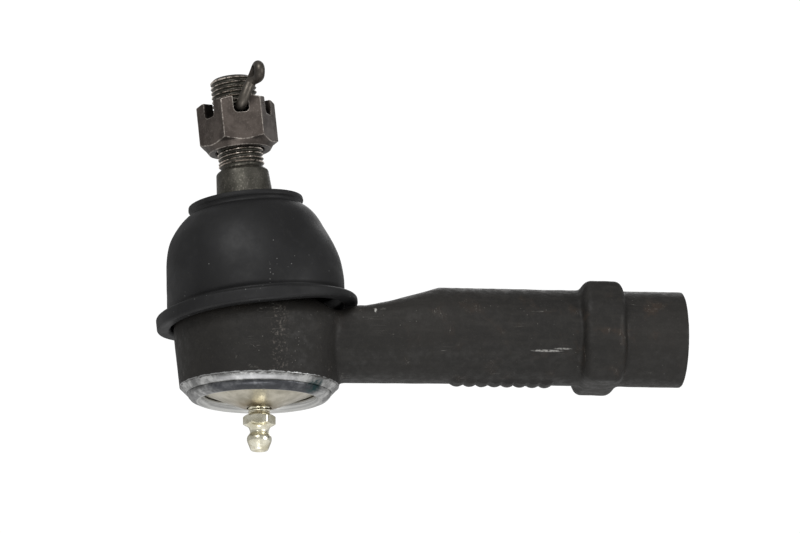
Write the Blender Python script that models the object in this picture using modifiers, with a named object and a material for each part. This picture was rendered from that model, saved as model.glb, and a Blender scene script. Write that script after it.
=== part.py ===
"""Tie rod end: a greasable steering ball joint on a forged, internally threaded shank.

Metres, +Z up. The origin is the centre of the shank's open end. +X points out of that end along
the threaded bore, and +Z points along the socket's axis towards the stud. Heights and radii of the
socket's pieces are measured from the ball's centre along the socket's axis, and those of the stud's
pieces along the stud, which leans in its socket.
"""

import math

import bmesh
import bpy
from mathutils import Matrix, Vector

# ---------------------------------------------------------------- driving dimensions
OBJECT_NAME = "tie_rod_end"
CLEARANCE = 0.0003                      # between pieces that touch

BALL_TO_SHANK_END = 0.1173              # ball centre to the shank's open end
STUD_LEAN = math.radians(5.8)           # from the socket's axis
LEAN_AZIMUTH = math.radians(180.0)      # the side that the stud leans to
PIN_AZIMUTH = math.radians(-87.3)       # the side that the cotter pin's eye is on

# Ball stud
BALL_RADIUS = 0.0135
BALL_FLAT = -0.0105                     # height of the flat under the ball
STUD_NECK_RADIUS = 0.0072
STUD_NECK_TOP = 0.0185
TAPER_BOTTOM = 0.0245
TAPER_TOP = 0.0451
TAPER_TOP_RADIUS = 0.0073
TAPER_HALF_ANGLE = math.radians(4.4)
THREAD_BOTTOM = 0.0468
THREAD_RADIUS = 0.00635                 # a half-inch thread
STUD_TOP = 0.0720
STUD_TOP_CHAMFER = 0.0009
PIN_HOLE_HEIGHT = 0.0621
PIN_HOLE_RADIUS = 0.00195

# Castle nut
NUT_BOTTOM = 0.0511
NUT_HEIGHT = 0.0136
NUT_ACROSS_FLATS = 0.01905
NUT_FACE_RADIUS = 0.0086                # bearing face, inside the bottom chamfer
NUT_BOTTOM_CHAMFER = 0.0023             # height of the chamfer at the hexagon's corners
NUT_CROWN_RADIUS = 0.0103               # top face, inside the crown's chamfer
NUT_CROWN_CHAMFER = 0.0007
SLOT_WIDTH = 0.0043
SLOT_DEPTH = 0.0046
SLOT_COUNT = 6
SLOT_CORNER_RADIUS = 0.0011

# Cotter pin: a half-round wire folded on itself
PIN_RADIUS = 0.0015
PIN_WIRE_GAP = 0.0001                   # between the two flats of the folded wire
PIN_BACK = -0.0118                      # where the legs spread, on the far side of the nut
PIN_BEND_START = 0.0090
PIN_BEND_RADIUS = 0.0024
PIN_BEND_ANGLE = math.radians(70.0)
PIN_EYE_REACH = 0.0106                  # length of the eye past the bend
PIN_EYE_HALF_WIDTH = 0.0027
PIN_EYE_HALF_TURN = math.radians(128.0)  # the eye's loop, to each side of its far end
PIN_SPREAD = ((0.0012, 0.0050), (0.0010, 0.0012), (0.0006, 0.0004))  # past the nut, and sideways
PIN_ROLL = math.radians(27.0)           # the eye's lean to one side of the stud's axis

# Dust boot and the steel ring in its lip
BOOT_LIP_TOP = 0.0366
BOOT_LIP_RADIUS = 0.0159
BOOT_LIP_HEIGHT = 0.0029
BOOT_LIP_BORE = 0.0091
BOOT_GROOVE_RADIUS = 0.0154
BOOT_WALL = 0.0020
DOME_HEIGHT = 0.0240                    # the dome's outline is a quarter of an ellipse
DOME_BOTTOM = 0.0110
DOME_RADIUS = 0.0245
DOME_CROWN_RADIUS = 0.0120
SKIRT_GROOVE_HEIGHT = 0.0089
SKIRT_GROOVE_DEPTH = 0.0006
FLANGE_RADIUS = 0.0278
FLANGE_TOP = 0.0070
FLANGE_BOTTOM = 0.0031
FLANGE_BORE = 0.0240
RUBBER_EDGE = 0.0005                    # rounding of the boot's edges
LIP_RING_BOTTOM = 0.0345
LIP_RING_THICKNESS = 0.0009
LIP_RING_INNER = 0.0094
LIP_RING_OUTER = 0.0130

# Housing, round the socket's axis
SOCKET_MOUTH_RADIUS = 0.0114
SOCKET_TOP = 0.0100
SOCKET_TOP_RADIUS = 0.0134
SHOULDER_HEIGHT = 0.0035
SHOULDER_RADIUS = 0.0228
DRUM_RADIUS = 0.0235                    # at the height of the ball's centre
DRUM_DRAFT = math.radians(6.3)
DRUM_BOTTOM = -0.0154
LIP_CREASE = -0.0173                    # the lip starts here, under the drum's bevelled edge
LIP_BOTTOM = -0.0194                    # the lip is rolled over the cover plate
LIP_OUTER_RADIUS = 0.0199
LIP_BEAD_RADIUS = 0.0189
LIP_BEAD_HEIGHT = -0.0186
LIP_RIDGE_RADIUS = 0.0170
LIP_INNER_RADIUS = 0.0154
SOCKET_BORE_RADIUS = 0.0165
SOCKET_BORE_TOP = 0.0078
COVER_SEAT = -0.0148
LIP_THROAT_DEPTH = 0.0004               # of the lip's inner edge, inside its ridge
SHOULDER_ROUNDING = 0.0010

# Housing, along the shank; distances are from the ball's centre
NECK_START = 0.0130
RELIEF_END = 0.0280                     # the neck is lower here, under the boot's flange
RELIEF_HEIGHT = 0.0053
NECK_RISE_START = 0.0284
NECK_RISE_HEIGHT = 0.0069
NECK_RISE_END = 0.0495
NECK_HALF_WIDTH = 0.0118
NECK_SQUARENESS = 0.45
SHANK_RADIUS = 0.01325
SHANK_END_CHAMFER = 0.0004
COLLAR_CENTRE = 0.0939
COLLAR_ACROSS_FLATS = 0.0282
COLLAR_FLAT_WIDTH = 0.0230              # of the flats above and below
COLLAR_WIDTH = 0.0316
COLLAR_SIDE_HEIGHT = 0.0130             # of the upright sides
COLLAR_EDGE_RADIUS = 0.0016
COLLAR_BASE_WIDTH = 0.0131
COLLAR_CREST_WIDTH = 0.0104
COLLAR_ROOT_DEPTH = 0.0008              # of the collar's foot inside the shank's surface
BORE_RADIUS = 0.0072                    # core of a five-eighths inch thread
BORE_DEPTH = 0.0620
BORE_CHAMFER = 0.0009
DRILL_POINT_ANGLE = math.radians(31.0)  # of the bore's end, from square

# Bearings, spring and cover plate
BEARING_RADIUS = SOCKET_BORE_RADIUS - CLEARANCE
UPPER_BEARING_BOTTOM = 0.0020
LOWER_BEARING_TOP = -0.0040
LOWER_BEARING_BOTTOM = -0.0129
SPRING_THICKNESS = 0.0006
SPRING_CONE_HEIGHT = 0.0010
SPRING_INNER_RADIUS = 0.0086
COVER_RADIUS = 0.0173
COVER_RIM_THICKNESS = 0.0018
COVER_CONE_RADIUS = 0.0150
COVER_CONE_BOTTOM = -0.0214
COVER_BOSS_RADIUS = 0.0042
COVER_WALL = 0.0018
COVER_RIM_INSET = 0.0012                # of the cone's mouth inside the rim

# Grease fitting
FITTING_TOP = -0.0176
FITTING_THREAD_RADIUS = 0.0031
FITTING_HEX_TOP = -0.0232
FITTING_HEX_BOTTOM = -0.0262
FITTING_ACROSS_FLATS = 0.00794
FITTING_NECK_RADIUS = 0.0028
FITTING_NECK_HEIGHT = -0.0281
FITTING_HEAD_RADIUS = 0.0034
FITTING_HEAD_HEIGHT = -0.0300
FITTING_TIP = -0.0331
FITTING_TIP_RADIUS = 0.0024
FITTING_AZIMUTH = math.radians(-97.7)   # the side that one flat of the hexagon faces
PASSAGE_RADIUS = 0.0009
CHAMBER_RADIUS = 0.0015
CHAMBER_TOP = -0.0244
CHECK_SEAT_TOP = -0.0316
CHECK_MOUTH_RADIUS = 0.0008
CHECK_BALL_RADIUS = 0.00115
CHECK_BALL_HEIGHT = -0.03135
CHECK_SPRING_RADIUS = 0.0009
CHECK_SPRING_WIRE = 0.0002
CHECK_SPRING_TURNS = 6
FITTING_EDGE = 0.0003
FITTING_SLOPE = 0.0006                  # height of the slopes at the fitting's waist

# Smoothness
ROUND_STEPS = 40
SMALL_STEPS = 24
ARC_STEPS = 6
DOME_STEPS = 9
NECK_STEPS = 5
COIL_STEPS = 10                         # points in one turn of the check spring
PIN_BEND_STEPS = 6
PIN_EYE_STEPS = 14
PIN_SECTION_STEPS = 8
OVERCUT = 0.0010                        # how far a cutter runs past the face that it cuts

BALL_CENTRE = Vector((-BALL_TO_SHANK_END, 0.0, 0.0))

# colour, roughness, metallic
FORGED_BLACK = ((0.030, 0.027, 0.023, 1.0), 0.60, 0.30)
DARK_STEEL = ((0.17, 0.15, 0.13, 1.0), 0.42, 1.00)
BEARING_GREY = ((0.30, 0.30, 0.29, 1.0), 0.55, 0.80)
SPRING_STEEL = ((0.20, 0.20, 0.21, 1.0), 0.35, 1.00)
YELLOW_ZINC = ((0.62, 0.53, 0.32, 1.0), 0.32, 1.00)
BRIGHT_STEEL = ((0.60, 0.60, 0.60, 1.0), 0.20, 1.00)
BLACK_RUBBER = ((0.026, 0.027, 0.031, 1.0), 0.55, 0.00)


# ---------------------------------------------------------------- tools
def clear_scene():
    for item in list(bpy.data.objects):
        bpy.data.objects.remove(item, do_unlink=True)


def new_collection(name):
    collection = bpy.data.collections.new(name)
    bpy.context.scene.collection.children.link(collection)
    return collection


def finish_material(name, look):
    colour, roughness, metallic = look
    material = bpy.data.materials.new(name)
    material.use_nodes = True
    shader = material.node_tree.nodes["Principled BSDF"]
    shader.inputs["Base Color"].default_value = colour
    shader.inputs["Roughness"].default_value = roughness
    shader.inputs["Metallic"].default_value = metallic
    material.diffuse_color = colour
    return material


def new_frame(name, matrix):
    """An empty that carries the pieces of one moving body."""
    empty = bpy.data.objects.new(name, None)
    empty.matrix_world = matrix
    parts.objects.link(empty)
    return empty


def place(item, parent, collection, look=None):
    collection.objects.link(item)
    item.parent = parent
    if look is not None:
        item.data.materials.append(finish_material(item.name, look))
    if collection is cutters:
        item.hide_render = True
        item.display_type = "WIRE"
    return item


def object_from_bmesh(name, shape):
    mesh = bpy.data.meshes.new(name)
    shape.to_mesh(mesh)
    shape.free()
    return bpy.data.objects.new(name, mesh)


def turned(name, outline, steps, ring=False):
    """A turned shape: the outline runs along the top, down the outside and back inside or below."""
    shape = bmesh.new()
    points = [shape.verts.new((radius, 0.0, height)) for radius, height in outline]
    for first, second in zip(points, points[1:]):
        shape.edges.new((first, second))
    if ring:
        shape.edges.new((points[-1], points[0]))
    item = object_from_bmesh(name, shape)
    screw = item.modifiers.new("turn", "SCREW")
    screw.steps = steps
    screw.render_steps = steps
    screw.use_merge_vertices = True
    screw.merge_threshold = 0.00001
    screw.use_smooth_shade = True
    return item


def prism(name, radius, bottom, top, sides, first_corner=0.0):
    """An upright prism or cylinder with one corner at the angle first_corner."""
    shape = bmesh.new()
    turn = Matrix.Rotation(first_corner - math.radians(90.0), 4, "Z")
    spot = Matrix.Translation((0.0, 0.0, (bottom + top) / 2))
    bmesh.ops.create_cone(shape, cap_ends=True, segments=sides, radius1=radius, radius2=radius,
                          depth=top - bottom, matrix=spot @ turn)
    return object_from_bmesh(name, shape)


def block(name, size, centre):
    shape = bmesh.new()
    stretch = Matrix.Translation(centre) @ Matrix.Diagonal((*size, 1.0))
    bmesh.ops.create_cube(shape, size=1.0, matrix=stretch)
    return object_from_bmesh(name, shape)


def add_bevel(item, width, segments=2):
    bevel = item.modifiers.new("rounded edges", "BEVEL")
    bevel.width = width
    bevel.segments = segments
    bevel.limit_method = "ANGLE"
    bevel.harden_normals = False


def combine(item, other, operation):
    boolean = item.modifiers.new(f"{operation.lower()} {other.name}", "BOOLEAN")
    boolean.operation = operation
    boolean.solver = "EXACT"
    boolean.object = other


def ball_arc(radius, start, end, steps=ARC_STEPS):
    """An outline's points on a sphere round the ball's centre, between two angles in degrees."""
    points = []
    for index in range(steps + 1):
        angle = math.radians(start + (end - start) * index / steps)
        points.append((radius * math.cos(angle), radius * math.sin(angle)))
    return points


def sphere_angle(radius, height):
    return math.degrees(math.asin(height / radius))


# ---------------------------------------------------------------- housing
def neck_section(distance):
    """Top height, bottom depth, half width and squareness at a distance from the ball's centre."""
    if distance <= RELIEF_END:
        return RELIEF_HEIGHT, SHANK_RADIUS, NECK_HALF_WIDTH, NECK_SQUARENESS
    run = (distance - NECK_RISE_START) / (NECK_RISE_END - NECK_RISE_START)
    top = NECK_RISE_HEIGHT + (SHANK_RADIUS - NECK_RISE_HEIGHT) * run
    half_width = NECK_HALF_WIDTH + (SHANK_RADIUS - NECK_HALF_WIDTH) * run
    return top, SHANK_RADIUS, half_width, NECK_SQUARENESS * (1.0 - run)


def section_ring(shape, distance, top, bottom, half_width, squareness):
    """One ring of the loft: round below the shank's axis, and squarer above it."""
    ring = []
    for index in range(ROUND_STEPS):
        angle = 2.0 * math.pi * index / ROUND_STEPS
        across = math.cos(angle)
        up = math.sin(angle)
        if up > 0.0:
            power = 1.0 - squareness
            spot = (half_width * math.copysign(abs(across) ** power, across), top * up ** power)
        else:
            spot = (half_width * across, bottom * up)
        ring.append(shape.verts.new((distance, *spot)))
    return ring


def shank_loft():
    """The neck and the shank, lofted from the socket's wall to the open end."""
    shape = bmesh.new()
    neck_length = NECK_RISE_END - NECK_RISE_START
    distances = [NECK_START, RELIEF_END]
    for step in range(NECK_STEPS + 1):
        distances.append(NECK_RISE_START + neck_length * step / NECK_STEPS)
    rings = [section_ring(shape, distance, *neck_section(distance)) for distance in distances]
    for distance, radius in ((BALL_TO_SHANK_END - SHANK_END_CHAMFER, SHANK_RADIUS),
                             (BALL_TO_SHANK_END, SHANK_RADIUS - SHANK_END_CHAMFER)):
        rings.append(section_ring(shape, distance, radius, radius, radius, 0.0))
    for ring, following in zip(rings, rings[1:]):
        for index in range(ROUND_STEPS):
            after = (index + 1) % ROUND_STEPS
            shape.faces.new((ring[index], ring[after], following[after], following[index]))
    shape.faces.new(rings[0][::-1])
    shape.faces.new(rings[-1])
    bmesh.ops.recalc_face_normals(shape, faces=shape.faces)
    return object_from_bmesh("shank_loft", shape)


def wrench_collar():
    """The wrench collar: flats above and below, drafted sides, and a crest narrower than its base."""
    flat_edge = (COLLAR_FLAT_WIDTH / 2, COLLAR_ACROSS_FLATS / 2)
    side_edge = (COLLAR_WIDTH / 2, COLLAR_SIDE_HEIGHT / 2)
    quarter = [side_edge, flat_edge]
    corners = quarter + [(-across, up) for across, up in quarter[::-1]]
    corners += [(-across, -up) for across, up in corners]
    root_radius = SHANK_RADIUS - COLLAR_ROOT_DEPTH
    shape = bmesh.new()
    rings = []
    for half_width, root in ((-COLLAR_BASE_WIDTH / 2, True), (-COLLAR_CREST_WIDTH / 2, False),
                             (COLLAR_CREST_WIDTH / 2, False), (COLLAR_BASE_WIDTH / 2, True)):
        ring = []
        for across, up in corners:
            shrink = root_radius / math.hypot(across, up) if root else 1.0
            ring.append(shape.verts.new((COLLAR_CENTRE + half_width, across * shrink, up * shrink)))
        rings.append(ring)
    for ring, following in zip(rings, rings[1:]):
        for corner in range(len(corners)):
            after = (corner + 1) % len(corners)
            shape.faces.new((ring[corner], ring[after], following[after], following[corner]))
    shape.faces.new(rings[0][::-1])
    shape.faces.new(rings[-1])
    bmesh.ops.recalc_face_normals(shape, faces=shape.faces)
    item = object_from_bmesh("wrench_collar", shape)
    add_bevel(item, COLLAR_EDGE_RADIUS)
    return item


def drum_radius(height):
    return DRUM_RADIUS + height * math.tan(DRUM_DRAFT)


def make_housing(parent):
    drum_outline = [
        (0.0, SOCKET_TOP),
        (SOCKET_TOP_RADIUS, SOCKET_TOP),
        (SHOULDER_RADIUS - SHOULDER_ROUNDING, SHOULDER_HEIGHT + SHOULDER_ROUNDING),
        (SHOULDER_RADIUS, SHOULDER_HEIGHT),
        (DRUM_RADIUS, SHOULDER_HEIGHT - SHOULDER_ROUNDING),
        (DRUM_RADIUS, 0.0),
        (drum_radius(DRUM_BOTTOM), DRUM_BOTTOM),
        (LIP_OUTER_RADIUS, LIP_CREASE),
        (LIP_BEAD_RADIUS, LIP_BEAD_HEIGHT),
        (LIP_RIDGE_RADIUS, LIP_BOTTOM),
        (0.0, LIP_BOTTOM),
    ]
    housing = place(turned("housing", drum_outline, ROUND_STEPS), parent, parts, FORGED_BLACK)
    rim_bottom = COVER_SEAT - COVER_RIM_THICKNESS - 2 * CLEARANCE
    socket_outline = [
        (0.0, SOCKET_TOP + OVERCUT),
        (SOCKET_MOUTH_RADIUS, SOCKET_TOP + OVERCUT),
        (SOCKET_MOUTH_RADIUS, SOCKET_BORE_TOP),
        (SOCKET_BORE_RADIUS, SOCKET_BORE_TOP),
        (SOCKET_BORE_RADIUS, COVER_SEAT),
        (COVER_RADIUS + CLEARANCE, COVER_SEAT),
        (COVER_RADIUS + CLEARANCE, rim_bottom),
        (LIP_INNER_RADIUS, rim_bottom),
        (LIP_RIDGE_RADIUS - LIP_THROAT_DEPTH, LIP_BOTTOM),
        (LIP_RIDGE_RADIUS, LIP_BOTTOM - OVERCUT),
        (0.0, LIP_BOTTOM - OVERCUT),
    ]
    socket = place(turned("socket_cutter", socket_outline, ROUND_STEPS), parent, cutters)
    bore_end = BALL_TO_SHANK_END - BORE_DEPTH
    bore_outline = [
        (0.0, BALL_TO_SHANK_END + OVERCUT),
        (BORE_RADIUS + BORE_CHAMFER + OVERCUT, BALL_TO_SHANK_END + OVERCUT),
        (BORE_RADIUS, BALL_TO_SHANK_END - BORE_CHAMFER),
        (BORE_RADIUS, bore_end),
        (0.0, bore_end - BORE_RADIUS * math.tan(DRILL_POINT_ANGLE)),
    ]
    bore = place(turned("bore_cutter", bore_outline, SMALL_STEPS), parent, cutters)
    bore.rotation_euler = (0.0, math.radians(90.0), 0.0)
    combine(housing, place(shank_loft(), parent, cutters), "UNION")
    combine(housing, place(wrench_collar(), parent, cutters), "UNION")
    combine(housing, socket, "DIFFERENCE")
    combine(housing, bore, "DIFFERENCE")


# ---------------------------------------------------------------- inside the socket
def make_bearings(parent):
    """The two halves of the bearing, hollowed to the ball, with the joint between them at its middle."""
    cup = BALL_RADIUS + CLEARANCE
    top = SOCKET_BORE_TOP - CLEARANCE
    for name, high, low in (("upper_bearing", top, UPPER_BEARING_BOTTOM),
                            ("lower_bearing", LOWER_BEARING_TOP, LOWER_BEARING_BOTTOM)):
        outline = [(BEARING_RADIUS, high), (BEARING_RADIUS, low)]
        outline += ball_arc(cup, sphere_angle(cup, low), sphere_angle(cup, high))
        place(turned(name, outline, ROUND_STEPS, ring=True), parent, parts, BEARING_GREY)


def make_preload_spring(parent):
    """A coned disc spring between the lower bearing and the cover plate."""
    inner_top = LOWER_BEARING_BOTTOM - CLEARANCE
    outer_top = inner_top - SPRING_CONE_HEIGHT
    outline = [
        (SPRING_INNER_RADIUS, inner_top),
        (BEARING_RADIUS, outer_top),
        (BEARING_RADIUS, outer_top - SPRING_THICKNESS),
        (SPRING_INNER_RADIUS, inner_top - SPRING_THICKNESS),
    ]
    place(turned("preload_spring", outline, ROUND_STEPS, ring=True), parent, parts, SPRING_STEEL)


def make_cover_plate(parent):
    """The pressed cover: a flat rim under the rolled lip and a cone down to the grease fitting."""
    rim_top = COVER_SEAT - CLEARANCE
    rim_bottom = rim_top - COVER_RIM_THICKNESS
    hole = FITTING_THREAD_RADIUS + CLEARANCE
    outline = [
        (COVER_CONE_RADIUS - COVER_RIM_INSET, rim_top),
        (COVER_RADIUS, rim_top),
        (COVER_RADIUS, rim_bottom),
        (COVER_CONE_RADIUS, rim_bottom),
        (COVER_BOSS_RADIUS, COVER_CONE_BOTTOM),
        (hole, COVER_CONE_BOTTOM),
        (hole, COVER_CONE_BOTTOM + COVER_WALL),
        (COVER_BOSS_RADIUS, COVER_CONE_BOTTOM + COVER_WALL),
    ]
    place(turned("cover_plate", outline, ROUND_STEPS, ring=True), parent, parts, YELLOW_ZINC)


# ---------------------------------------------------------------- grease fitting
def make_grease_fitting(parent):
    thread_outline = [
        (0.0, FITTING_TOP),
        (FITTING_THREAD_RADIUS - FITTING_EDGE, FITTING_TOP),
        (FITTING_THREAD_RADIUS, FITTING_TOP - FITTING_EDGE),
        (FITTING_THREAD_RADIUS, FITTING_HEX_BOTTOM - FITTING_EDGE),
        (FITTING_NECK_RADIUS, FITTING_NECK_HEIGHT + FITTING_SLOPE),
        (FITTING_NECK_RADIUS, FITTING_NECK_HEIGHT),
        (FITTING_HEAD_RADIUS, FITTING_HEAD_HEIGHT + FITTING_SLOPE),
        (FITTING_HEAD_RADIUS, FITTING_HEAD_HEIGHT - FITTING_EDGE),
        (FITTING_TIP_RADIUS, FITTING_TIP),
        (0.0, FITTING_TIP),
    ]
    body = turned("grease_fitting_body", thread_outline, SMALL_STEPS)
    place(body, parent, parts, YELLOW_ZINC)
    corner_radius = FITTING_ACROSS_FLATS / 2 / math.cos(math.radians(30.0))
    corner = FITTING_AZIMUTH + math.radians(30.0)
    hexagon = prism("fitting_hexagon", corner_radius, FITTING_HEX_BOTTOM, FITTING_HEX_TOP, 6, corner)
    combine(body, place(hexagon, parent, cutters), "UNION")
    passage_outline = [
        (0.0, FITTING_TOP + OVERCUT),
        (PASSAGE_RADIUS, FITTING_TOP + OVERCUT),
        (PASSAGE_RADIUS, CHAMBER_TOP),
        (CHAMBER_RADIUS, CHAMBER_TOP),
        (CHAMBER_RADIUS, CHECK_SEAT_TOP),
        (CHECK_MOUTH_RADIUS, FITTING_TIP),
        (CHECK_MOUTH_RADIUS, FITTING_TIP - OVERCUT),
        (0.0, FITTING_TIP - OVERCUT),
    ]
    passage = turned("fitting_passage_cutter", passage_outline, SMALL_STEPS)
    combine(body, place(passage, parent, cutters), "DIFFERENCE")


def make_check_ball(parent):
    shape = bmesh.new()
    bmesh.ops.create_uvsphere(shape, u_segments=16, v_segments=10, radius=CHECK_BALL_RADIUS)
    ball = object_from_bmesh("grease_fitting_ball", shape)
    place(ball, parent, parts, BRIGHT_STEEL)
    ball.location = (0.0, 0.0, CHECK_BALL_HEIGHT)
    ball.data.shade_smooth()


def make_check_spring(parent):
    """The coil spring that holds the check ball on its seat."""
    bottom = CHECK_BALL_HEIGHT + CHECK_BALL_RADIUS + CHECK_SPRING_WIRE + CLEARANCE
    top = CHAMBER_TOP - CHECK_SPRING_WIRE - CLEARANCE
    count = CHECK_SPRING_TURNS * COIL_STEPS + 1
    curve = bpy.data.curves.new("grease_fitting_spring", "CURVE")
    curve.dimensions = "3D"
    curve.bevel_depth = CHECK_SPRING_WIRE
    curve.bevel_resolution = 1
    curve.use_fill_caps = True
    coil = curve.splines.new("POLY")
    coil.points.add(count - 1)
    for index, point in enumerate(coil.points):
        angle = 2.0 * math.pi * index / COIL_STEPS
        height = bottom + (top - bottom) * index / (count - 1)
        across = CHECK_SPRING_RADIUS * math.cos(angle)
        along = CHECK_SPRING_RADIUS * math.sin(angle)
        point.co = (across, along, height, 1.0)
    place(bpy.data.objects.new("grease_fitting_spring", curve), parent, parts, SPRING_STEEL)


# ---------------------------------------------------------------- dust boot
def dome_arc(radius_drop, steps):
    """The dome's outline, from its crown down to its widest place, moved in by radius_drop."""
    across = DOME_RADIUS - DOME_CROWN_RADIUS - radius_drop
    up = DOME_HEIGHT - radius_drop
    points = []
    for index in range(steps + 1):
        angle = math.radians(90.0 * (1.0 - index / steps))
        radius = DOME_CROWN_RADIUS + across * math.cos(angle)
        points.append((radius, DOME_BOTTOM + up * math.sin(angle)))
    return points


def make_dust_boot(parent):
    """The rubber boot: a lip that grips the stud's taper, a dome, and a skirt round the housing."""
    lip_bottom = BOOT_LIP_TOP - BOOT_LIP_HEIGHT
    ring_top = LIP_RING_BOTTOM + LIP_RING_THICKNESS + CLEARANCE
    ring_bottom = LIP_RING_BOTTOM - CLEARANCE
    outer_dome = [point for point in dome_arc(0.0, DOME_STEPS) if point[1] < lip_bottom - RUBBER_EDGE]
    inner_dome = dome_arc(BOOT_WALL, DOME_STEPS)[::-1]
    outline = [
        (BOOT_LIP_BORE, BOOT_LIP_TOP),
        (BOOT_LIP_RADIUS - RUBBER_EDGE, BOOT_LIP_TOP),
        (BOOT_LIP_RADIUS, BOOT_LIP_TOP - RUBBER_EDGE),
        (BOOT_LIP_RADIUS, lip_bottom + RUBBER_EDGE),
        (BOOT_GROOVE_RADIUS, lip_bottom),
    ]
    outline += outer_dome
    outline += [
        (DOME_RADIUS, SKIRT_GROOVE_HEIGHT + SKIRT_GROOVE_DEPTH),
        (DOME_RADIUS - SKIRT_GROOVE_DEPTH, SKIRT_GROOVE_HEIGHT),
        (DOME_RADIUS, SKIRT_GROOVE_HEIGHT - SKIRT_GROOVE_DEPTH),
        (FLANGE_RADIUS - RUBBER_EDGE, FLANGE_TOP),
        (FLANGE_RADIUS, FLANGE_TOP - RUBBER_EDGE),
        (FLANGE_RADIUS, FLANGE_BOTTOM + RUBBER_EDGE),
        (FLANGE_RADIUS - RUBBER_EDGE, FLANGE_BOTTOM),
        (FLANGE_BORE + RUBBER_EDGE, FLANGE_BOTTOM),
        (FLANGE_BORE, FLANGE_BOTTOM + RUBBER_EDGE),
        (FLANGE_BORE, SKIRT_GROOVE_HEIGHT - BOOT_WALL),
        (DOME_RADIUS - BOOT_WALL, SKIRT_GROOVE_HEIGHT),
    ]
    outline += inner_dome
    outline += [
        (BOOT_LIP_BORE, inner_dome[-1][1]),
        (BOOT_LIP_BORE, ring_bottom),
        (LIP_RING_OUTER + CLEARANCE, ring_bottom),
        (LIP_RING_OUTER + CLEARANCE, ring_top),
        (BOOT_LIP_BORE, ring_top),
    ]
    place(turned("dust_boot", outline, ROUND_STEPS, ring=True), parent, parts, BLACK_RUBBER)


def make_lip_ring(parent):
    """The flat steel ring inside the boot's lip, which keeps it tight on the stud."""
    top = LIP_RING_BOTTOM + LIP_RING_THICKNESS
    outline = [
        (LIP_RING_INNER, top),
        (LIP_RING_OUTER, top),
        (LIP_RING_OUTER, LIP_RING_BOTTOM),
        (LIP_RING_INNER, LIP_RING_BOTTOM),
    ]
    place(turned("boot_lip_ring", outline, ROUND_STEPS, ring=True), parent, parts, SPRING_STEEL)


# ---------------------------------------------------------------- stud, nut and pin
def make_ball_stud(parent):
    taper_growth = (TAPER_TOP - TAPER_BOTTOM) * math.tan(TAPER_HALF_ANGLE)
    ball_start = math.degrees(math.acos(STUD_NECK_RADIUS / BALL_RADIUS))
    ball_end = sphere_angle(BALL_RADIUS, BALL_FLAT)
    outline = [
        (0.0, STUD_TOP),
        (THREAD_RADIUS - STUD_TOP_CHAMFER, STUD_TOP),
        (THREAD_RADIUS, STUD_TOP - STUD_TOP_CHAMFER),
        (THREAD_RADIUS, THREAD_BOTTOM),
        (TAPER_TOP_RADIUS, TAPER_TOP),
        (TAPER_TOP_RADIUS + taper_growth, TAPER_BOTTOM),
        (STUD_NECK_RADIUS, STUD_NECK_TOP),
    ]
    outline += ball_arc(BALL_RADIUS, ball_start, ball_end, 2 * ARC_STEPS)
    outline.append((0.0, BALL_FLAT))
    stud = place(turned("ball_stud", outline, ROUND_STEPS), parent, parts, DARK_STEEL)
    reach = THREAD_RADIUS + OVERCUT
    hole = prism("pin_hole_cutter", PIN_HOLE_RADIUS, -reach, reach, SMALL_STEPS)
    place(hole, parent, cutters)
    hole.location = (0.0, 0.0, PIN_HOLE_HEIGHT)
    hole.rotation_euler = (0.0, math.radians(90.0), 0.0)
    combine(stud, hole, "DIFFERENCE")


def make_castle_nut(parent):
    """A hexagon nut with six slots; one pair of slots is in line with the hole in the stud."""
    corner_radius = NUT_ACROSS_FLATS / 2 / math.cos(math.radians(30.0))
    top = NUT_BOTTOM + NUT_HEIGHT
    nut = prism("castle_nut", corner_radius, NUT_BOTTOM, top, 6, math.radians(30.0))
    place(nut, parent, parts, DARK_STEEL)
    chamfer_outline = [
        (0.0, top + OVERCUT),
        (NUT_CROWN_RADIUS, top + OVERCUT),
        (NUT_CROWN_RADIUS, top),
        (corner_radius + OVERCUT, top - NUT_CROWN_CHAMFER),
        (corner_radius + OVERCUT, NUT_BOTTOM + NUT_BOTTOM_CHAMFER),
        (NUT_FACE_RADIUS, NUT_BOTTOM),
        (NUT_FACE_RADIUS, NUT_BOTTOM - OVERCUT),
        (0.0, NUT_BOTTOM - OVERCUT),
    ]
    chamfers = place(turned("nut_chamfer_guide", chamfer_outline, ROUND_STEPS), parent, cutters)
    combine(nut, chamfers, "INTERSECT")
    bore = prism("nut_bore_cutter", THREAD_RADIUS + CLEARANCE, NUT_BOTTOM - OVERCUT, top + OVERCUT,
                 ROUND_STEPS)
    combine(nut, place(bore, parent, cutters), "DIFFERENCE")
    for pair in range(SLOT_COUNT // 2):
        size = (2 * NUT_ACROSS_FLATS, SLOT_WIDTH, 2 * SLOT_DEPTH)
        slot = block(f"slot_cutter_{pair}", size, (0.0, 0.0, top))
        add_bevel(slot, SLOT_CORNER_RADIUS, 3)
        place(slot, parent, cutters)
        slot.rotation_euler = (0.0, 0.0, 2.0 * math.pi * pair / SLOT_COUNT)
        combine(nut, slot, "DIFFERENCE")


def pin_leg(side):
    """Centre line of one leg in the pin's own plane, from its spread tip to the end of the bend."""
    offset = (PIN_RADIUS + PIN_WIRE_GAP) / 2
    bend_centre = Vector((PIN_BEND_START, PIN_BEND_RADIUS))
    path = [Vector((PIN_BACK - past, side * (offset + apart))) for past, apart in PIN_SPREAD]
    path.append(Vector((PIN_BACK, side * offset)))
    for step in range(PIN_BEND_STEPS + 1):
        angle = PIN_BEND_ANGLE * step / PIN_BEND_STEPS
        outward = Vector((math.sin(angle), -math.cos(angle)))
        path.append(bend_centre + outward * (PIN_BEND_RADIUS - side * offset))
    return path


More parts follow.
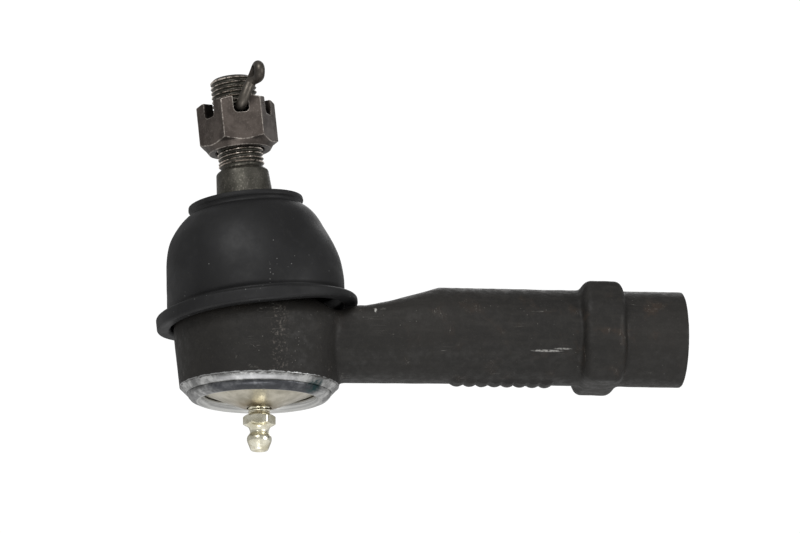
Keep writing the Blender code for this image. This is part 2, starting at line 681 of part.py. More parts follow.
def pin_eye():
    """Centre line of the pin's eye, beyond the bend."""
    along = Vector((math.cos(PIN_BEND_ANGLE), math.sin(PIN_BEND_ANGLE)))
    across = Vector((-along.y, along.x))
    throat = Vector((PIN_BEND_START, PIN_BEND_RADIUS)) - across * PIN_BEND_RADIUS
    centre = throat + along * (PIN_EYE_REACH - PIN_EYE_HALF_WIDTH)
    eye = []
    for step in range(PIN_EYE_STEPS + 1):
        angle = PIN_EYE_HALF_TURN * (2.0 * step / PIN_EYE_STEPS - 1.0)
        outward = along * math.cos(angle) + across * math.sin(angle)
        eye.append(centre + outward * PIN_EYE_HALF_WIDTH)
    return eye


def make_cotter_pin(parent):
    """The split pin: its legs go through the nut's slots and the stud, and its eye is bent up."""
    section = bpy.data.curves.new("pin_section_guide", "CURVE")
    section.dimensions = "2D"
    outline = section.splines.new("POLY")
    outline.use_cyclic_u = True
    half_wire = PIN_RADIUS / 2
    outline.points.add(PIN_SECTION_STEPS - 1)
    for index, point in enumerate(outline.points):
        angle = -2.0 * math.pi * (index + 0.5) / PIN_SECTION_STEPS
        point.co = (half_wire * math.cos(angle), PIN_RADIUS * math.sin(angle), 0.0, 1.0)
    section_object = place(bpy.data.objects.new("pin_section_guide", section), parent, cutters)
    curve = bpy.data.curves.new("cotter_pin", "CURVE")
    curve.dimensions = "2D"
    curve.fill_mode = "NONE"
    curve.bevel_mode = "OBJECT"
    curve.bevel_object = section_object
    curve.use_fill_caps = True
    points = pin_leg(-1) + pin_eye() + pin_leg(1)[::-1]
    wire = curve.splines.new("POLY")
    wire.points.add(len(points) - 1)
    for point, spot in zip(wire.points, points):
        point.co = (spot.x, spot.y, 0.0, 1.0)
    pin = place(bpy.data.objects.new("cotter_pin", curve), parent, parts, DARK_STEEL)
    pin.location = (0.0, 0.0, PIN_HOLE_HEIGHT)
    pin.rotation_euler = (math.radians(90.0) - PIN_ROLL, 0.0, 0.0)


# ---------------------------------------------------------------- assembly
def main():
    socket_frame = new_frame("socket_frame", Matrix.Translation(BALL_CENTRE))
    lean_axis = Vector((-math.sin(LEAN_AZIMUTH), math.cos(LEAN_AZIMUTH), 0.0))
    lean = Matrix.Translation(BALL_CENTRE) @ Matrix.Rotation(STUD_LEAN, 4, lean_axis)
    boot_frame = new_frame("boot_frame", lean)
    stud_frame = new_frame("stud_frame", lean @ Matrix.Rotation(PIN_AZIMUTH, 4, "Z"))

    make_housing(socket_frame)
    make_bearings(socket_frame)
    make_preload_spring(socket_frame)
    make_cover_plate(socket_frame)
    make_grease_fitting(socket_frame)
    make_check_ball(socket_frame)
    make_check_spring(socket_frame)
    make_dust_boot(boot_frame)
    make_lip_ring(boot_frame)
    make_ball_stud(stud_frame)
    make_castle_nut(stud_frame)
    make_cotter_pin(stud_frame)
    bpy.context.view_layer.update()


clear_scene()
parts = new_collection(OBJECT_NAME)
cutters = new_collection("cutters")
main()
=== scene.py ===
"""Tie rod end: the visual model, its looks and its studio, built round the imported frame.

Metres, +Z up. The origin is the centre of the shank's open end. Outlines are written in millimetres,
as (radius, height, rounding), where a sharp corner has no rounding, with heights from the ball's
centre along the piece's own axis.
"""
from math import ceil, copysign, cos, exp, hypot, pi, radians, sin, sqrt, tan, tau

import bmesh
import bpy
from mathutils import Matrix, Vector, noise
from mathutils.kdtree import KDTree


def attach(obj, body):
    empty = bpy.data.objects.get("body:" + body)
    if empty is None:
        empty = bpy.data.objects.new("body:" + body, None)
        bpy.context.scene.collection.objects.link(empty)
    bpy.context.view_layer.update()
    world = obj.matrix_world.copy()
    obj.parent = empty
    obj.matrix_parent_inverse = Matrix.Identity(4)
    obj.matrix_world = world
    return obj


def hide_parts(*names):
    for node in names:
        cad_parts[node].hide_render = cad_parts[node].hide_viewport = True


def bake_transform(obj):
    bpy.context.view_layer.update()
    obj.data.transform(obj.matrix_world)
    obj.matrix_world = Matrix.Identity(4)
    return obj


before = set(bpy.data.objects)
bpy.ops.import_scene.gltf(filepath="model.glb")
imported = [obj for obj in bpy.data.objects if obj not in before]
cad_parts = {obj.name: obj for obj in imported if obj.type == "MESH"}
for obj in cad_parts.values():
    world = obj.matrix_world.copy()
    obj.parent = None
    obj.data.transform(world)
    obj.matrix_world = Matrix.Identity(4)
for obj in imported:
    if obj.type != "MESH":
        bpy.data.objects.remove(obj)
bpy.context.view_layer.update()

MM = 0.001

# ---- places
BALL_CENTRE = Vector((-0.1173, 0.0, 0.0))
STUD_LEAN = radians(5.8)
LEAN_AXIS = Vector((0.0, -1.0, 0.0))
PIN_AZIMUTH = radians(-87.3)
SOCKET_PLACE = Matrix.Translation(BALL_CENTRE)
STUD_PLACE = SOCKET_PLACE @ Matrix.Rotation(STUD_LEAN, 4, LEAN_AXIS)
PIN_PLACE = STUD_PLACE @ Matrix.Rotation(PIN_AZIMUTH, 4, "Z")
SHANK_PLACE = Matrix.Rotation(radians(90.0), 4, "Y")

# ---- housing, in millimetres
SHANK_LENGTH = 117.3  # from the ball's centre to the open end
DRUM_RADIUS = 23.5
DRUM_DRAFT = tan(radians(6.3))
DRUM_BOTTOM = -15.4
NECK_START = 8.0
RELIEF_START = 21.0
RELIEF_END = 26.5
RELIEF_HEIGHT = 5.3
NECK_RISE_START = 28.4
NECK_RISE_HEIGHT = 6.9
NECK_RISE_END = 49.5
NECK_HALF_WIDTH = 11.8
NECK_SQUARENESS = 0.45
CREASE_DEPTH = 0.45  # of the fold along the neck's lower side
CREASE_HEIGHT = 8.6  # of that fold, below the axis
SHANK_RADIUS = 13.25
COLLAR_CENTRE = 93.9
COLLAR_HALF_HEIGHT = 14.1
COLLAR_HALF_FLAT = 11.5
COLLAR_HALF_WIDTH = 15.8
COLLAR_HALF_SIDE = 6.5
COLLAR_HALF_BASE = 6.55
COLLAR_HALF_CREST = 5.2
COLLAR_ROUNDING = 1.7
PIP_START = 53.0  # the row of raised pips under the shank
PIP_END = 81.0
PIP_PITCH = 3.5
PIP_HALF_LENGTH = 3.6
PIP_HEIGHT = 0.75
BORE_RADIUS = 7.2
BORE_DEPTH = 62.0
BORE_POINT = 4.3  # the drill point beyond it
BORE_THREADED = 34.0  # how far the bore's thread is modelled
BORE_MOUTH = 8.1
BORE_PITCH = 1.411
FILLET_RADIUS = 24.0  # where the neck leaves the drum, from the ball's centre
FILLET_REACH = 7.0
FORGED_VOXEL = 0.42

# ---- stud, nut and pin, in millimetres
THREAD_RADIUS = 6.35
THREAD_PITCH = 1.27
THREAD_DEPTH = 0.72
THREAD_BOTTOM = 47.2
STUD_TOP = 72.0
STUD_BALL_RADIUS = 13.5
STUD_BALL_BOTTOM = -10.5  # the ball is cut flat there
STUD_NECK_HEIGHT = 11.42  # where the ball meets the neck
PIN_HOLE_HEIGHT = 62.1
PIN_HOLE_RADIUS = 1.95
PIN_ROLL = radians(27.0)  # of the legs' plane, from upright
PIN_EYE_ROLL = radians(8.0)  # of the eye's plane
PIN_WIRE_RADIUS = 1.45
NUT_BOTTOM = 51.1
NUT_TOP = 64.7
NUT_HALF_FLATS = 9.525
SLOT_HALF_WIDTH = 2.15
SLOT_DEPTH = 4.6
NUT_ROUNDING = 0.20  # of its worn edges
NUT_FACE_SIZE = 0.60
NUT_WEAR_REACH = 0.8

# ---- boot and grease fitting, in millimetres
BOOT_WALL = 2.0
DOME_FOOT = 11.0  # the dome is a quarter ellipse, turned round the stud at a distance
DOME_HEIGHT = 24.0
DOME_WIDTH = 12.5
DOME_CENTRE = 12.0  # of that ellipse, from the stud's axis
BOOT_SEAM = 15.5  # height of the seam between the boot's skirt and its bell
FLANGE_DROP = 0.5  # of the boot's flange, on the side away from the shank
FLANGE_THINNING = 1.6  # of the flange over the neck
FITTING_HALF_FLATS = 3.97
FITTING_AZIMUTH = radians(-97.7)
CHECK_BALL_RADIUS = 1.15
CHECK_BALL_HEIGHT = -31.35
CHECK_SPRING_RADIUS = 0.9
CHECK_SPRING_WIRE = 0.2
CHECK_SPRING_BOTTOM = -29.7
CHECK_SPRING_TOP = -24.9
CHECK_SPRING_TURNS = 6
CHECK_SPRING_STEPS = 16  # rings in one turn

# ---- marks on the surfaces, in metres
DRUM_BAND = -0.1140  # where the drum's paint is rubbed, along X
PAINT_CHIPS = (  # place, radius, stretch and strength of each
    ((-0.0865, -0.0118, 0.0044), 0.0008, (1.6, 0.5, 0.8), 0.95),
    ((-0.0395, -0.0115, -0.0062), 0.00036, (0.07, 0.1, 1.0), 0.55),
    ((-0.0350, -0.0115, -0.0056), 0.00030, (0.10, 0.1, 1.0), 0.45))
GLINT_PLACE = (-0.1200, -0.0195, -0.0168)
SMUDGE_PLACE = (-0.1035, -0.0145, -0.0180)
PHOSPHATE_GRAIN = 0.0016

# ---- studio
CAMERA_YAW = radians(7.69)
CAMERA_PITCH = radians(13.0)
CAMERA_ROLL = radians(-0.53)
CAMERA_DISTANCE = 1.2329
CAMERA_ACROSS = 0.0386  # of the ball's centre, in the picture's plane
CAMERA_UP = 0.0180
LENS = 202.5
LIGHT_AIM = Vector((-0.07, 0.0, 0.01))
LIGHTS = (  # name, place, size and power
    ("key", (-0.55, -0.95, 0.70), 0.55, 9.0),
    ("fill", (0.85, -0.80, 0.05), 0.60, 5.0),
    ("low", (-0.25, -0.60, -0.85), 0.50, 3.0),
    ("back", (0.20, 0.95, 0.60), 0.60, 2.5))
SKY_LIGHT = 0.42  # the studio's even light on the object
SKY_SEEN = 1.05  # the white backdrop, as the camera sees it
FLOOR_GLOW = 0.40
FLOOR_LEVEL = -1.6
FLOOR_HALF_SIZE = 8.0


# ---- mesh tools
def clamped(value):
    return max(0.0, min(1.0, value))


def vectors(*spots):
    return [Vector(spot) for spot in spots]


def rounded(outline, closed=False, steps=4):
    """The outline's points, with each corner replaced by a small curve of its own rounding."""
    points = []
    count = len(outline)
    for index, (radius, height, *rounding) in enumerate(outline):
        corner = Vector((radius, height))
        at_end = not closed and index in (0, count - 1)
        if not rounding or at_end:
            points.append(corner)
            continue
        before = Vector(outline[index - 1][:2]) - corner
        after = Vector(outline[(index + 1) % count][:2]) - corner
        reach = min(rounding[0], 0.48 * before.length, 0.48 * after.length)
        first = corner + before.normalized() * reach
        last = corner + after.normalized() * reach
        for step in range(steps + 1):
            share = step / steps
            points.append(first.lerp(corner, share).lerp(corner.lerp(last, share), share))
    return points


def densified(points, longest, closed=False):
    """The same outline with no step longer than longest."""
    ends = points[1:] + ([points[0]] if closed else [])
    dense = []
    for first, second in zip(points, ends):
        pieces = max(1, ceil((second - first).length / longest))
        dense += [first.lerp(second, step / pieces) for step in range(pieces)]
    if not closed:
        dense.append(points[-1])
    return dense


def join_rings(shape, ring, following):
    """Faces between two rings; a ring of one vertex is the tip of a fan."""
    count = max(len(ring), len(following))
    for index in range(count):
        after = (index + 1) % count
        corners = [ring[index % len(ring)], ring[after % len(ring)],
                   following[after % len(following)], following[index % len(following)]]
        unique = [corner for spot, corner in enumerate(corners) if corner not in corners[:spot]]
        shape.faces.new(unique)


def add_object(name, data):
    item = bpy.data.objects.new(name, data)
    bpy.context.scene.collection.objects.link(item)
    return item


def finish_mesh(name, shape, place):
    bmesh.ops.recalc_face_normals(shape, faces=shape.faces)
    mesh = bpy.data.meshes.new(name)
    shape.to_mesh(mesh)
    shape.free()
    mesh.transform(place)
    return add_object(name, mesh)


def lathe(name, points, segments, place, closed=False, reshape=None, first_angle=0.0):
    """A turned mesh. reshape(angle, radius, height) gives a point its own radius and height."""
    shape = bmesh.new()
    rings = []
    for radius, height in points:
        if radius < 0.001:
            rings.append([shape.verts.new((0.0, 0.0, height * MM))])
            continue
        ring = []
        for index in range(segments):
            angle = first_angle + tau * index / segments
            here, level = reshape(angle, radius, height) if reshape else (radius, height)
            ring.append(shape.verts.new((here * cos(angle) * MM, here * sin(angle) * MM,
                                         level * MM)))
        rings.append(ring)
    for ring, following in zip(rings, rings[1:]):
        join_rings(shape, ring, following)
    if closed:
        join_rings(shape, rings[-1], rings[0])
    return finish_mesh(name, shape, place)


def turned(name, outline, longest, segments, place, **shaping):
    """A turned mesh from a closed outline with rounded corners, in steps of at most longest."""
    points = densified(rounded(outline, closed=True), longest, closed=True)
    return lathe(name, points, segments, place, closed=True, **shaping)


def modify(item, kind, **settings):
    modifier = item.modifiers.new(kind, kind)
    for name, value in settings.items():
        setattr(modifier, name, value)


def apply_modifiers(item):
    depsgraph = bpy.context.evaluated_depsgraph_get()
    mesh = bpy.data.meshes.new_from_object(item.evaluated_get(depsgraph))
    item.modifiers.clear()
    item.data = mesh


def cut(item, *cutters, operation="DIFFERENCE"):
    """Cuts the cutters from the item, or keeps only what is inside them, and removes them."""
    for cutter in cutters:
        modify(item, "BOOLEAN", operation=operation, solver="MANIFOLD", object=cutter)
    apply_modifiers(item)
    for cutter in cutters:
        bpy.data.objects.remove(cutter, do_unlink=True)


def box_mesh(name, low, high, place=Matrix(), rounding=0.0):
    shape = bmesh.new()
    size = Vector(high) - Vector(low)
    middle = (Vector(high) + Vector(low)) / 2
    stretch = Matrix.Translation(middle * MM) @ Matrix.Diagonal((*(size * MM), 1.0))
    bmesh.ops.create_cube(shape, size=1.0, matrix=stretch)
    if rounding:
        bmesh.ops.bevel(shape, geom=shape.edges[:], offset=rounding * MM, segments=4,
                        affect="EDGES", profile=0.5)
    return finish_mesh(name, shape, place)


def bevel(item, width, segments, angle):
    """Rounds the edges that are sharper than angle."""
    modify(item, "BEVEL", width=width * MM, segments=segments, limit_method="ANGLE",
           angle_limit=radians(angle))
    apply_modifiers(item)


def sharp_points(item, angle=25.0, spacing=0.25):
    """Points along the item's outward edges that are sharper than angle."""
    shape = bmesh.new()
    shape.from_mesh(item.data)
    shape.normal_update()
    points = []
    for edge in shape.edges:
        if len(edge.link_faces) != 2 or not edge.is_convex:
            continue
        if edge.calc_face_angle(0.0) < radians(angle):
            continue
        first, second = (vert.co.copy() for vert in edge.verts)
        pieces = max(1, ceil((second - first).length / (spacing * MM)))
        points += [first.lerp(second, (step + 0.5) / pieces) for step in range(pieces)]
    shape.free()
    return points


def subdivide(item, longest):
    """Splits every edge that is longer than longest, so a vertex attribute can follow the edges."""
    shape = bmesh.new()
    shape.from_mesh(item.data)
    bmesh.ops.triangulate(shape, faces=shape.faces)
    for _ in range(6):
        long_edges = [edge for edge in shape.edges if edge.calc_length() > longest * MM]
        if not long_edges:
            break
        bmesh.ops.subdivide_edges(shape, edges=long_edges, cuts=1)
        bmesh.ops.triangulate(shape, faces=shape.faces)
    shape.to_mesh(item.data)
    shape.free()


def store(item, name, values):
    """Keeps one number for each vertex, for the material to read."""
    attribute = item.data.attributes.new(name, "FLOAT", "POINT")
    attribute.data.foreach_set("value", values)


def mark_edges(item, points, reach):
    """Stores 1 at the sharp edges, down to 0 at a distance of reach, for worn edges."""
    tree = KDTree(len(points))
    for index, point in enumerate(points):
        tree.insert(point, index)
    tree.balance()
    store(item, "wear", [clamped(1.0 - tree.find(vert.co)[2] / (reach * MM))
                         for vert in item.data.vertices])


def mark_wear(item, passes):
    """Stores how far each vertex stands proud of its neighbours, for worn high places."""
    shape = bmesh.new()
    shape.from_mesh(item.data)
    shape.normal_update()
    values = []
    for vert in shape.verts:
        total = 0.0
        for edge in vert.link_edges:
            away = vert.co - edge.other_vert(vert).co
            if away.length > 1e-9:
                total += away.normalized().dot(vert.normal)
        values.append(total / max(1, len(vert.link_edges)))
    for _ in range(passes):
        smoothed = []
        for vert in shape.verts:
            near = [values[edge.other_vert(vert).index] for edge in vert.link_edges]
            smoothed.append(0.5 * values[vert.index] + 0.5 * sum(near) / max(1, len(near)))
        values = smoothed
    shape.free()
    store(item, "wear", values)


def dress(item, material):
    item.data.materials.clear()
    item.data.materials.append(material)


def stand_for(item, sharp, node, material):
    """Smooths the item up to the angle sharp, and lets it replace the CAD node."""
    item.data.shade_smooth()
    item.data.set_sharp_from_angle(angle=radians(sharp))
    dress(item, material)
    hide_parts(node)


def finish_piece(item, sharp, body, node, material):
    """A rigid piece that rides on the body."""
    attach(item, body)
    stand_for(item, sharp, node, material)


def finish_bent(item, sharp, node, material):
    """A piece baked in place, in world space, that stands for the CAD node."""
    stand_for(item, sharp, node, material)
    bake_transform(item)


# ---- material tools
class Look:
    """A node material: one Principled shader and the chain of nodes that feeds it."""

    def __init__(self, name, roughness, metallic=0.0, specular=0.5):
        self.material = bpy.data.materials.new(name)
        self.material.use_nodes = True
        self.tree = self.material.node_tree
        self.shader = self.tree.nodes["Principled BSDF"]
        inputs = {"Roughness": roughness, "Metallic": metallic, "Specular IOR Level": specular}
        for name, value in inputs.items():
            self.shader.inputs[name].default_value = value
        coordinates = self.tree.nodes.new("ShaderNodeTexCoord")
        self.place = coordinates.outputs["Object"]
        self.colour = None
        self.normal = None

    def link(self, source, target):
        if hasattr(source, "node"):
            self.tree.links.new(source, target)
        else:
            target.default_value = source

    def add(self, kind, inputs):
        """A new node with each of these inputs linked to a socket or set to a value."""
        node = self.tree.nodes.new("ShaderNode" + kind)
        for name, source in inputs.items():
            self.link(source, node.inputs[name])
        return node

    def stretched(self, scale, offset=(0.0, 0.0, 0.0)):
        mapping = self.add("Mapping", {"Vector": self.place, "Scale": scale, "Location": offset})
        return mapping.outputs["Vector"]

    def noise(self, size, detail=4.0, roughness=0.7, vector=None):
        """Noise with features of about size metres, from 0 to 1."""
        texture = self.add("TexNoise", {"Vector": vector or self.place, "Scale": 1.0 / size,
                                        "Detail": detail, "Roughness": roughness})
        return texture.outputs["Fac"]

    def cells(self, size, output):
        texture = self.add("TexVoronoi", {"Vector": self.place, "Scale": 1.0 / size})
        return texture.outputs[output]

    def attribute(self, name):
        node = self.add("Attribute", {})
        node.attribute_name = name
        return node.outputs["Fac"]

    def axis(self, letter):
        return self.add("SeparateXYZ", {"Vector": self.place}).outputs[letter]

    def ramp(self, value, low, high, to_low=0.0, to_high=1.0):
        """A smooth step from to_low at low to to_high at high."""
        node = self.add("MapRange", {"Value": value, "From Min": low, "From Max": high,
                                     "To Min": to_low, "To Max": to_high})
        node.interpolation_type = "SMOOTHSTEP"
        return node.outputs["Result"]

    def math(self, operation, first, second=0.0):
        node = self.add("Math", {0: first, 1: second})
        node.operation = operation
        return node.outputs[0]

    def times(self, first, second):
        return self.math("MULTIPLY", first, second)

    def patches(self, size, low, high, detail=4.0, roughness=0.7):
        """Noise turned into soft-edged patches: 0 below low, 1 above high."""
        return self.ramp(self.noise(size, detail, roughness), low, high)

    def mix(self, share, first, second):
        """The first colour where share is 0, the second where it is 1."""
        node = self.add("Mix", {"Factor": share})
        node.data_type = "RGBA"
        for source, socket in ((first, node.inputs[6]), (second, node.inputs[7])):
            self.link((*source, 1.0) if isinstance(source, tuple) else source, socket)
        return node.outputs[2]

    def paint(self, share, colour, strength=1.0):
        """Lays a colour over the colour so far, where share is 1."""
        if strength != 1.0:
            share = self.times(share, strength)
        self.colour = self.mix(share, self.colour, colour)

    def near(self, spot, radius, stretch=(1.0, 1.0, 1.0)):
        """1 at a spot on the object, down to 0 at the radius; a large stretch is a short mark."""
        place = self.stretched(stretch, [-part * scale for part, scale in zip(spot, stretch)])
        node = self.add("VectorMath", {0: place})
        node.operation = "LENGTH"
        return self.ramp(node.outputs["Value"], radius, radius * 0.5)

    def bump(self, height, distance, strength):
        """Adds small relief of that height in metres, on top of the relief so far."""
        inputs = {"Height": height, "Distance": distance, "Strength": strength}
        if self.normal is not None:
            inputs["Normal"] = self.normal
        self.normal = self.add("Bump", inputs).outputs["Normal"]

    def finish(self, roughness=None, metallic=None):
        sources = {"Base Color": self.colour, "Roughness": roughness, "Metallic": metallic,
                   "Normal": self.normal}
        for name, source in sources.items():
            if source is not None:
                self.link(source, self.shader.inputs[name])
        return self.material


def specks(look, size, radius, patch_size, patch_level, chosen):
    """Small dots, only in patches, and only in the chosen share of the cells."""
    dots = look.ramp(look.cells(size, "Distance"), radius * 1.25, radius * 0.75)
    patches = look.patches(patch_size, patch_level, patch_level + 0.06, 3.0, 0.55)
    split = look.add("SeparateColor", {"Color": look.cells(size, "Color")})
    kept = look.math("LESS_THAN", split.outputs["Red"], chosen)
    return look.times(look.times(dots, patches), kept)


def scratches(look, scale, size, width, patch_size, patch_level):
    """Thin lines along the direction in which scale is smallest."""
    lines = look.noise(size, 2.0, 0.5, look.stretched(scale))
    away = look.math("ABSOLUTE", look.math("SUBTRACT", lines, 0.5))
    thin = look.ramp(away, width, width * 0.4)
    patches = look.patches(patch_size, patch_level, patch_level + 0.05, 2.0, 0.55)
    return look.times(thin, patches)


# ---- looks
def forged_paint():
    """Thin black paint over a pebbly forged skin, dusty, chipped, and worn off at the lower rim."""
    look = Look("forged_black_paint", 0.6, specular=0.26)
    height = look.axis("Z")
    broad = look.noise(0.030, 2.0, 0.5)
    fine = look.noise(0.0022, 4.0, 0.65)
    look.colour = look.mix(look.ramp(broad, 0.36, 0.64), (0.0100, 0.0092, 0.0082), (0.0150, 0.0135, 0.0117))
    streaks = look.noise(0.0016, 4.0, 0.65, look.stretched((0.10, 1.0, 1.0)))
    look.paint(look.ramp(streaks, 0.46, 0.66), (0.022, 0.0198, 0.0172), 0.45)
    rust = look.times(look.patches(0.007, 0.53, 0.70), 0.50)
    along = look.ramp(look.axis("X"), -0.090, -0.020, 0.25, 1.0)
    look.paint(look.times(rust, along), (0.046, 0.029, 0.019))
    look.paint(look.ramp(fine, 0.44, 0.66), (0.024, 0.0220, 0.0198), 0.40)
    # Painted shade: darker towards the bottom, and a little darker all over.
    shade_below = look.times(look.ramp(height, 0.002, -0.010), 0.45)
    look.paint(look.math("ADD", shade_below, 0.12), (0.008, 0.0073, 0.0062))
    look.paint(look.patches(0.00045, 0.60, 0.72, 3.0), (0.080, 0.073, 0.066), 0.22)
    worn = look.times(look.ramp(look.attribute("wear"), 0.10, 0.30), look.patches(0.0018, 0.48, 0.66))
    look.paint(worn, (0.11, 0.10, 0.09), 0.40)
    lengthwise = scratches(look, (0.05, 1.0, 1.0), 0.0015, 0.0045, 0.010, 0.60)
    upright = scratches(look, (1.0, 1.0, 0.07), 0.0014, 0.0040, 0.007, 0.61)
    marks = look.math("MAXIMUM", specks(look, 0.0009, 0.13, 0.009, 0.55, 0.30), lengthwise)
    look.paint(look.math("MAXIMUM", marks, upright), (0.22, 0.21, 0.19), 0.45)
    from_band = look.math("ABSOLUTE", look.math("SUBTRACT", look.axis("X"), DRUM_BAND))
    band = look.times(look.ramp(from_band, 0.0032, 0.0008), look.ramp(height, 0.006, 0.001))
    rubbed = look.patches(0.0008, 0.52, 0.66, 4.0, 0.75)
    look.paint(look.times(band, rubbed), (0.13, 0.115, 0.10), 0.55)
    for spot, radius, stretch, strength in PAINT_CHIPS:
        chip = look.times(look.near(spot, radius, stretch), look.patches(0.0005, 0.35, 0.55, 3.0))
        look.paint(chip, (0.42, 0.41, 0.39), strength)
    rim = look.math("ADD", height, look.times(look.noise(0.0019), 0.0011))
    bare = look.ramp(rim, -0.01455, -0.01475)
    look.paint(bare, (0.34, 0.34, 0.34))
    roughness = look.ramp(fine, 0.35, 0.70, 0.66, 0.48)
    look.bump(look.noise(0.0045, 3.0, 0.6), 0.00022, 0.55)
    look.bump(look.noise(0.0009), 0.00008, 0.60)
    return look.finish(look.math("SUBTRACT", roughness, look.times(bare, 0.22)), look.times(bare, 0.85))


def lip_steel():
    """The rolled lip: a bright turned bevel outside, and a painted dark reflection on the band inside the
    crack.
    """
    look = Look("rolled_lip_steel", 0.4, 1.0)
    height = look.axis("Z")
    turning = look.noise(0.0004, 2.0, 0.5, look.stretched((0.02, 0.02, 1.0)))
    patches = look.patches(0.004, 0.40, 0.66, 4.0, 0.65)
    bright = look.mix(patches, (0.17, 0.17, 0.168), (0.50, 0.50, 0.49))
    # Painted dark reflection: the band inside the crack is dark, darkest on the near side and as bright as
    # the bevel away from it.
    dark = look.mix(patches, (0.060, 0.062, 0.068), (0.135, 0.138, 0.145))
    dark_reflection_side = look.math("ADD", look.axis("Y"), look.times(turning, 0.004))
    dark = look.mix(look.ramp(dark_reflection_side, -0.0125, -0.0060), dark, bright)
    look.colour = look.mix(look.ramp(height, -0.01705, -0.01740), bright, dark)
    glint = look.times(look.near(GLINT_PLACE, 0.0125, (0.8, 1.0, 1.0)), look.ramp(height, -0.0158, -0.0164))
    glint = look.times(glint, look.ramp(height, -0.01715, -0.01690))
    look.paint(glint, (0.72, 0.72, 0.73), 0.45)
    smudge = look.near(SMUDGE_PLACE, 0.0034, (1.0, 1.0, 0.8))
    smudge = look.times(smudge, look.patches(0.0014, 0.35, 0.55, 3.0, 0.6))
    look.paint(smudge, (0.010, 0.040, 0.042), 0.85)
    grey = look.mix(look.ramp(turning, 0.4, 0.6), (0.38, 0.38, 0.37), (0.58, 0.58, 0.56))
    look.paint(look.attribute("inner"), grey)
    edge = look.math("ADD", height, look.times(look.noise(0.0016, 4.0, 0.75), 0.0014))
    painted = look.ramp(edge, -0.01500, -0.01480)
    look.paint(painted, (0.030, 0.027, 0.024))
    roughness = look.ramp(look.noise(0.0012, 4.0, 0.6), 0.35, 0.70, 0.30, 0.50)
    look.bump(turning, 0.00003, 0.5)
    look.bump(look.noise(0.0014, 3.0, 0.6), 0.00006, 0.4)
    return look.finish(roughness, look.math("SUBTRACT", 1.0, painted))


def boot_rubber():
    """Moulded black rubber with a dull bloom, fine mould texture and dust."""
    look = Look("boot_rubber", 0.5, specular=0.27)
    broad = look.noise(0.012, 4.0, 0.6)
    look.colour = look.mix(look.ramp(broad, 0.36, 0.66), (0.0050, 0.0050, 0.0054), (0.0085, 0.0085, 0.0090))
    look.paint(look.patches(0.0032, 0.52, 0.72), (0.016, 0.0158, 0.0158), 0.35)
    look.paint(specks(look, 0.0010, 0.14, 0.010, 0.54, 0.30), (0.24, 0.24, 0.23), 0.50)
    look.bump(look.noise(0.0060, 2.0, 0.5), 0.00020, 0.30)
    look.bump(look.noise(0.0006), 0.00003, 0.55)
    return look.finish(look.ramp(broad, 0.35, 0.70, 0.62, 0.48))


def phosphate_steel(name, dark, light, worn_colour, wear_low, wear_high):
    """Dark phosphated steel, brownish, with bright wear where the surface stands proud."""
    look = Look(name, 0.45, 0.9)
    blotches = look.noise(PHOSPHATE_GRAIN * 3.0, 4.0, 0.65)
    look.colour = look.mix(look.ramp(blotches, 0.38, 0.64), dark, light)
    fine = look.noise(PHOSPHATE_GRAIN * 0.35)
    look.paint(look.ramp(fine, 0.52, 0.74), worn_colour, 0.16)
    worn = look.times(look.ramp(look.attribute("wear"), wear_low, wear_high),
                      look.patches(PHOSPHATE_GRAIN * 0.6, 0.36, 0.60))
    look.paint(worn, worn_colour)
    # Painted shade where the inner attribute is set: inside the nut's slots and on its chamfer.
    look.paint(look.attribute("inner"), (0.010, 0.009, 0.008), 0.85)
    roughness = look.ramp(blotches, 0.3, 0.7, 0.52, 0.40)
    look.bump(look.noise(PHOSPHATE_GRAIN, 4.0, 0.65), 0.00007, 0.45)
    look.bump(fine, 0.00002, 0.40)
    return look.finish(look.math("SUBTRACT", roughness, look.times(worn, 0.12)))


def fitting_zinc():
    """Pale yellow zinc, shiny, with darker stains."""
    look = Look("fitting_yellow_zinc", 0.3, 1.0)
    broad = look.noise(0.0035, 4.0, 0.6)
    look.colour = look.mix(look.ramp(broad, 0.35, 0.65), (0.66, 0.62, 0.47), (0.92, 0.89, 0.74))
    look.paint(look.patches(0.0022, 0.52, 0.70), (0.38, 0.31, 0.18), 0.55)
    look.bump(look.noise(0.0009, 3.0, 0.6), 0.00003, 0.5)
    return look.finish(look.ramp(look.noise(0.0011, 4.0, 0.65), 0.35, 0.70, 0.20, 0.42))


def cover_zinc():
    """The cover's pale yellow zinc, browner and darker round the fitting."""
    look = Look("cover_yellow_zinc", 0.34, 1.0)
    broad = look.noise(0.0050, 4.0, 0.6)
    look.colour = look.mix(look.ramp(broad, 0.35, 0.65), (0.36, 0.335, 0.27), (0.54, 0.505, 0.42))
    centre = look.times(look.ramp(look.axis("Z"), -0.0194, -0.0213),
                        look.patches(0.006, 0.30, 0.62, 3.0, 0.6))
    look.paint(centre, (0.20, 0.145, 0.075), 0.75)
    look.paint(look.patches(0.0011, 0.52, 0.72), (0.22, 0.20, 0.15), 0.3)
    look.bump(look.noise(0.0030, 3.0, 0.6), 0.00006, 0.4)
    return look.finish(look.ramp(broad, 0.3, 0.7, 0.42, 0.28))


def plain_steel(name, colour, roughness):
    """The hidden steel pieces: even, with a light grain."""
    look = Look(name, roughness, 1.0)
    darker = tuple(0.7 * part for part in colour)
    look.colour = look.mix(look.patches(0.0014, 0.35, 0.65, 3.0, 0.6), darker, colour)
    look.bump(look.noise(0.0005, 3.0, 0.6), 0.00002, 0.5)
    return look.finish()


